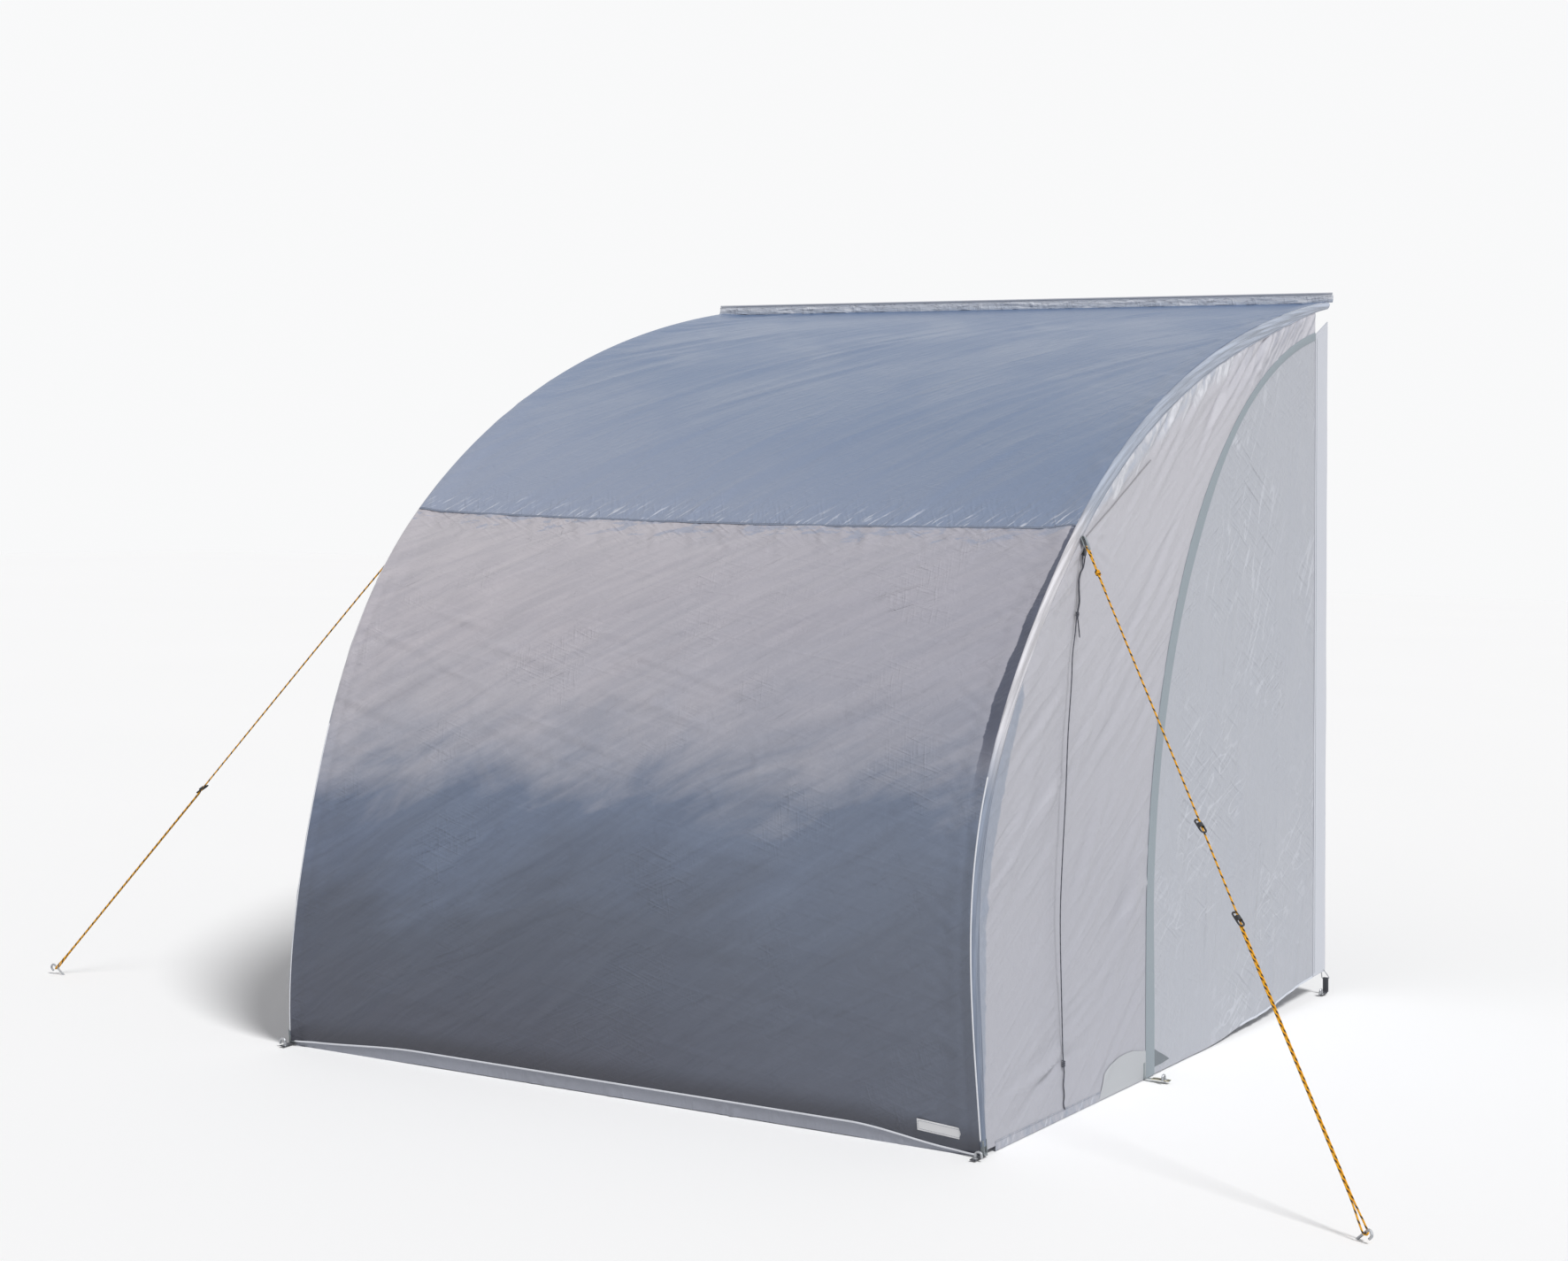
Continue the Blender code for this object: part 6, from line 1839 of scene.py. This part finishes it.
def makeLabel():
    # A bare sewn label low on the front
    size = {"left": 0.790, "right": 0.894, "low": 0.040, "high": 0.065, "turn": -0.007, "lift": 0.0032}
    inset = 0.0035

    def spot(x, height):
        across = np.asarray(x) / frontWidth + 0.5
        return sheetAt(atHeight(height), across, np.full_like(across, size["lift"]))

    def place(s, t):
        x = size["left"] + (size["right"] - size["left"]) * s
        height = size["low"] + (size["high"] - size["low"]) * t + size["turn"] * s
        return spot(x, height), np.stack((x, height), 1)

    piece = gridPiece("bare_label", 26, 8, place, (0.0, -1.0, 0.0), None, 0.0016)
    bevel = piece.modifiers.new("edge", "BEVEL")
    bevel.width = 0.0004
    bevel.segments = 2
    bevel.limit_method = "ANGLE"
    bpy.context.view_layer.objects.active = piece
    bpy.ops.object.modifier_apply(modifier="edge")
    finishUp(piece, "label", "tent")
    rim = []
    for s, t in ((0, 0), (1, 0), (1, 1), (0, 1), (0, 0)):
        x = size["left"] + inset + (size["right"] - size["left"] - 2 * inset) * s
        height = size["low"] + inset + (size["high"] - size["low"] - 2 * inset) * t + size["turn"] * s
        rim.append(spot(np.array(x), np.array(height)))
    stitchRow("label_stitches", np.array(rim) + (0.0, -0.0010, 0.0), 0.0032, (0.0, -1.0, 0.0))


def makeFoot(side):
    # A cup of webbing under the pole's foot, and a tongue with the peg's eyelet
    word = words[side]
    size = {"width": 0.016, "height": 0.030, "web": 0.0016, "tongue": 0.046, "floor": 0.005, "eye": 0.034}
    pole = {"bottom": 0.010, "radius": 0.0055, "play": 0.0004}
    centre, normal, inboard = poleAt(np.array(atHeight(pole["bottom"])))
    up = np.array((-normal[1], normal[0]))
    up = up if up[1] > 0 else -up
    reach = pole["radius"] + pole["play"] + size["web"] / 2
    across = sideFrames[side][3]
    bottom = centre - up * (tent["gap"] + size["web"] / 2)
    turns = np.linspace(0.0, math.pi, 9)
    curl = [bottom + normal * reach * math.cos(a) - up * 0.003 * math.sin(a) for a in turns]
    ends = [centre + normal * reach * end + up * size["height"] for end in (1, -1)]
    path = sidePoint(side, *np.array([ends[0], *curl, ends[1]]).T, inboard)
    straps(
        f"foot_cup_{word}", path, across, size["width"], size["web"],
        "greyWeb", (f"foot_pocket_{word}",),
    )
    tip = centre[0] + size["tongue"]
    tongue = smoothRoute([
        (centre[0] - 0.010, size["floor"]), (centre[0] + 0.012, size["floor"]),
        (centre[0] + 0.026, size["floor"] + 0.0005), (tip, size["floor"]),
    ], 0.004)
    path = sidePoint(side, tongue[:, 0], tongue[:, 1], inboard)
    straps(f"foot_tongue_{word}", path, across, size["width"] * 0.9, size["web"], "darkWeb")
    spot = sidePoint(side, centre[0] + size["eye"], size["floor"] + 0.001, inboard)
    eyelet(f"foot_eyelet_{word}", spot)


def eyelet(name, centre):
    # A pressed metal ring round a peg's hole, flat over the ground
    radius = 0.0051
    axes = np.diag((-1.0, -1.0, 1.0))
    angle = np.linspace(0.0, 2 * math.pi, 25)[:-1]
    ring = np.stack((np.cos(angle), np.sin(angle)), 1) * radius
    section = [
        (-0.0015, -0.0012), (-0.0011, 0.0004), (-0.0003, 0.0010),
        (0.0009, 0.0008), (0.0015, 0.0000), (0.0009, -0.0012),
    ]
    return finishUp(sweptRing(name, centre, axes, ring, section), "steel", "tent")


def makeDoorStrap(side):
    # A tab sewn over the hem beside the zip, and a tongue on the ground with the peg's eyelet
    word, out = words[side], outboard(side)
    size = {
        "u": 1.283,
        "width": 0.018,
        "tab": 0.030,
        "length": 0.066,
        "eye": 0.054,
        "floor": 0.005,
        "web": 0.0016,
    }
    along, up = sideFrames[side][1:3]
    face, tabWidth = 0.0019, size["width"] * 0.62
    base = sidePoint(side, size["u"], 0.0)
    tab = [
        base + up * (zipShape["hem"] + size["tab"]) + out * face,
        base + up * zipShape["hem"] + out * face,
        base + up * 0.0065 + out * (face + 0.002),
    ]
    path = resample(smoothRoute(tab, 0.004), 0.003)
    straps(
        f"door_tab_{word}", path, along, tabWidth, size["web"],
        "greyWeb", (f"door_strap_{word}",),
    )
    reach = np.linspace(0.001, size["length"], 14)
    hump = size["floor"] + 0.0012 * np.sin(reach / size["length"] * math.pi)
    narrow = base + out * (face + reach)[:, None] + up * hump[:, None]
    straps(f"door_tongue_{word}", narrow, along, tabWidth, size["web"], "greyWeb")
    wide = narrow[4:] + up * 0.0012
    straps(f"door_tongue_cover_{word}", wide, along, size["width"], size["web"], "strapWeb")
    spot = base + out * (face + size["eye"] - 0.0008) + up * (size["floor"] + 0.0028)
    eyelet(f"door_eyelet_{word}", spot)


def makeCornerStrap(side):
    # A strap over the corner ring's bar, down to a tongue with the peg's eyelet
    word = words[side]
    size = {
        "u": 0.016,
        "width": 0.014,
        "tongue": 0.040,
        "eye": 0.030,
        "floor": 0.005,
        "web": 0.0016,
        "hug": 0.0030,
    }
    corner, across = sideFrames[side][0], sideFrames[side][3]
    low, high = (np.array(end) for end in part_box(f"corner_strap_{word}"))
    middle = (low + high) / 2 - corner
    inboard = side * (middle @ across)
    barHeight = float(high[2]) + tent["railHeight"] - 0.0038
    turns = np.linspace(math.pi, 0.0, 11)
    arc = [(size["u"] + size["hug"] * math.cos(a), barHeight + size["hug"] * math.sin(a)) for a in turns]
    flat = [
        (size["u"] - size["hug"], size["floor"] + 0.002),
        *arc,
        (size["u"] + size["hug"], size["floor"] + 0.004),
        (size["u"] + 0.006, size["floor"]),
        (size["u"] + size["tongue"], size["floor"]),
    ]
    path = sidePoint(side, *np.array(flat).T, inboard)
    straps(
        f"corner_web_{word}", path, across, size["width"], size["web"],
        "darkWeb", (f"corner_strap_{word}",),
    )
    spot = sidePoint(side, size["u"] + size["eye"], size["floor"] + 0.001, inboard)
    eyelet(f"corner_eyelet_{word}", spot)


makeBand()
makeLabel()
for side in words:
    makeFoot(side)
    makeDoorStrap(side)
    makeCornerStrap(side)
print("trim and webbing ready")

# Finishes of the plain pieces
dressNodes("band", "keder_bead")
for word in words.values():
    dressNodes("glass", *(f"pole_section_{part}_{word}" for part in ("lower", "middle", "upper")))
    dressNodes("steel", *(f"pole_ferrule_{part}_{word}" for part in ("lower", "middle")))
    dressNodes("steel", *(f"{part}_peg_{word}" for part in ("guy", "foot", "door", "corner")))
    dressNodes("steel", f"corner_ring_{word}")
    dressNodes("zipMetal", f"zip_slider_{word}", f"zip_puller_{word}")
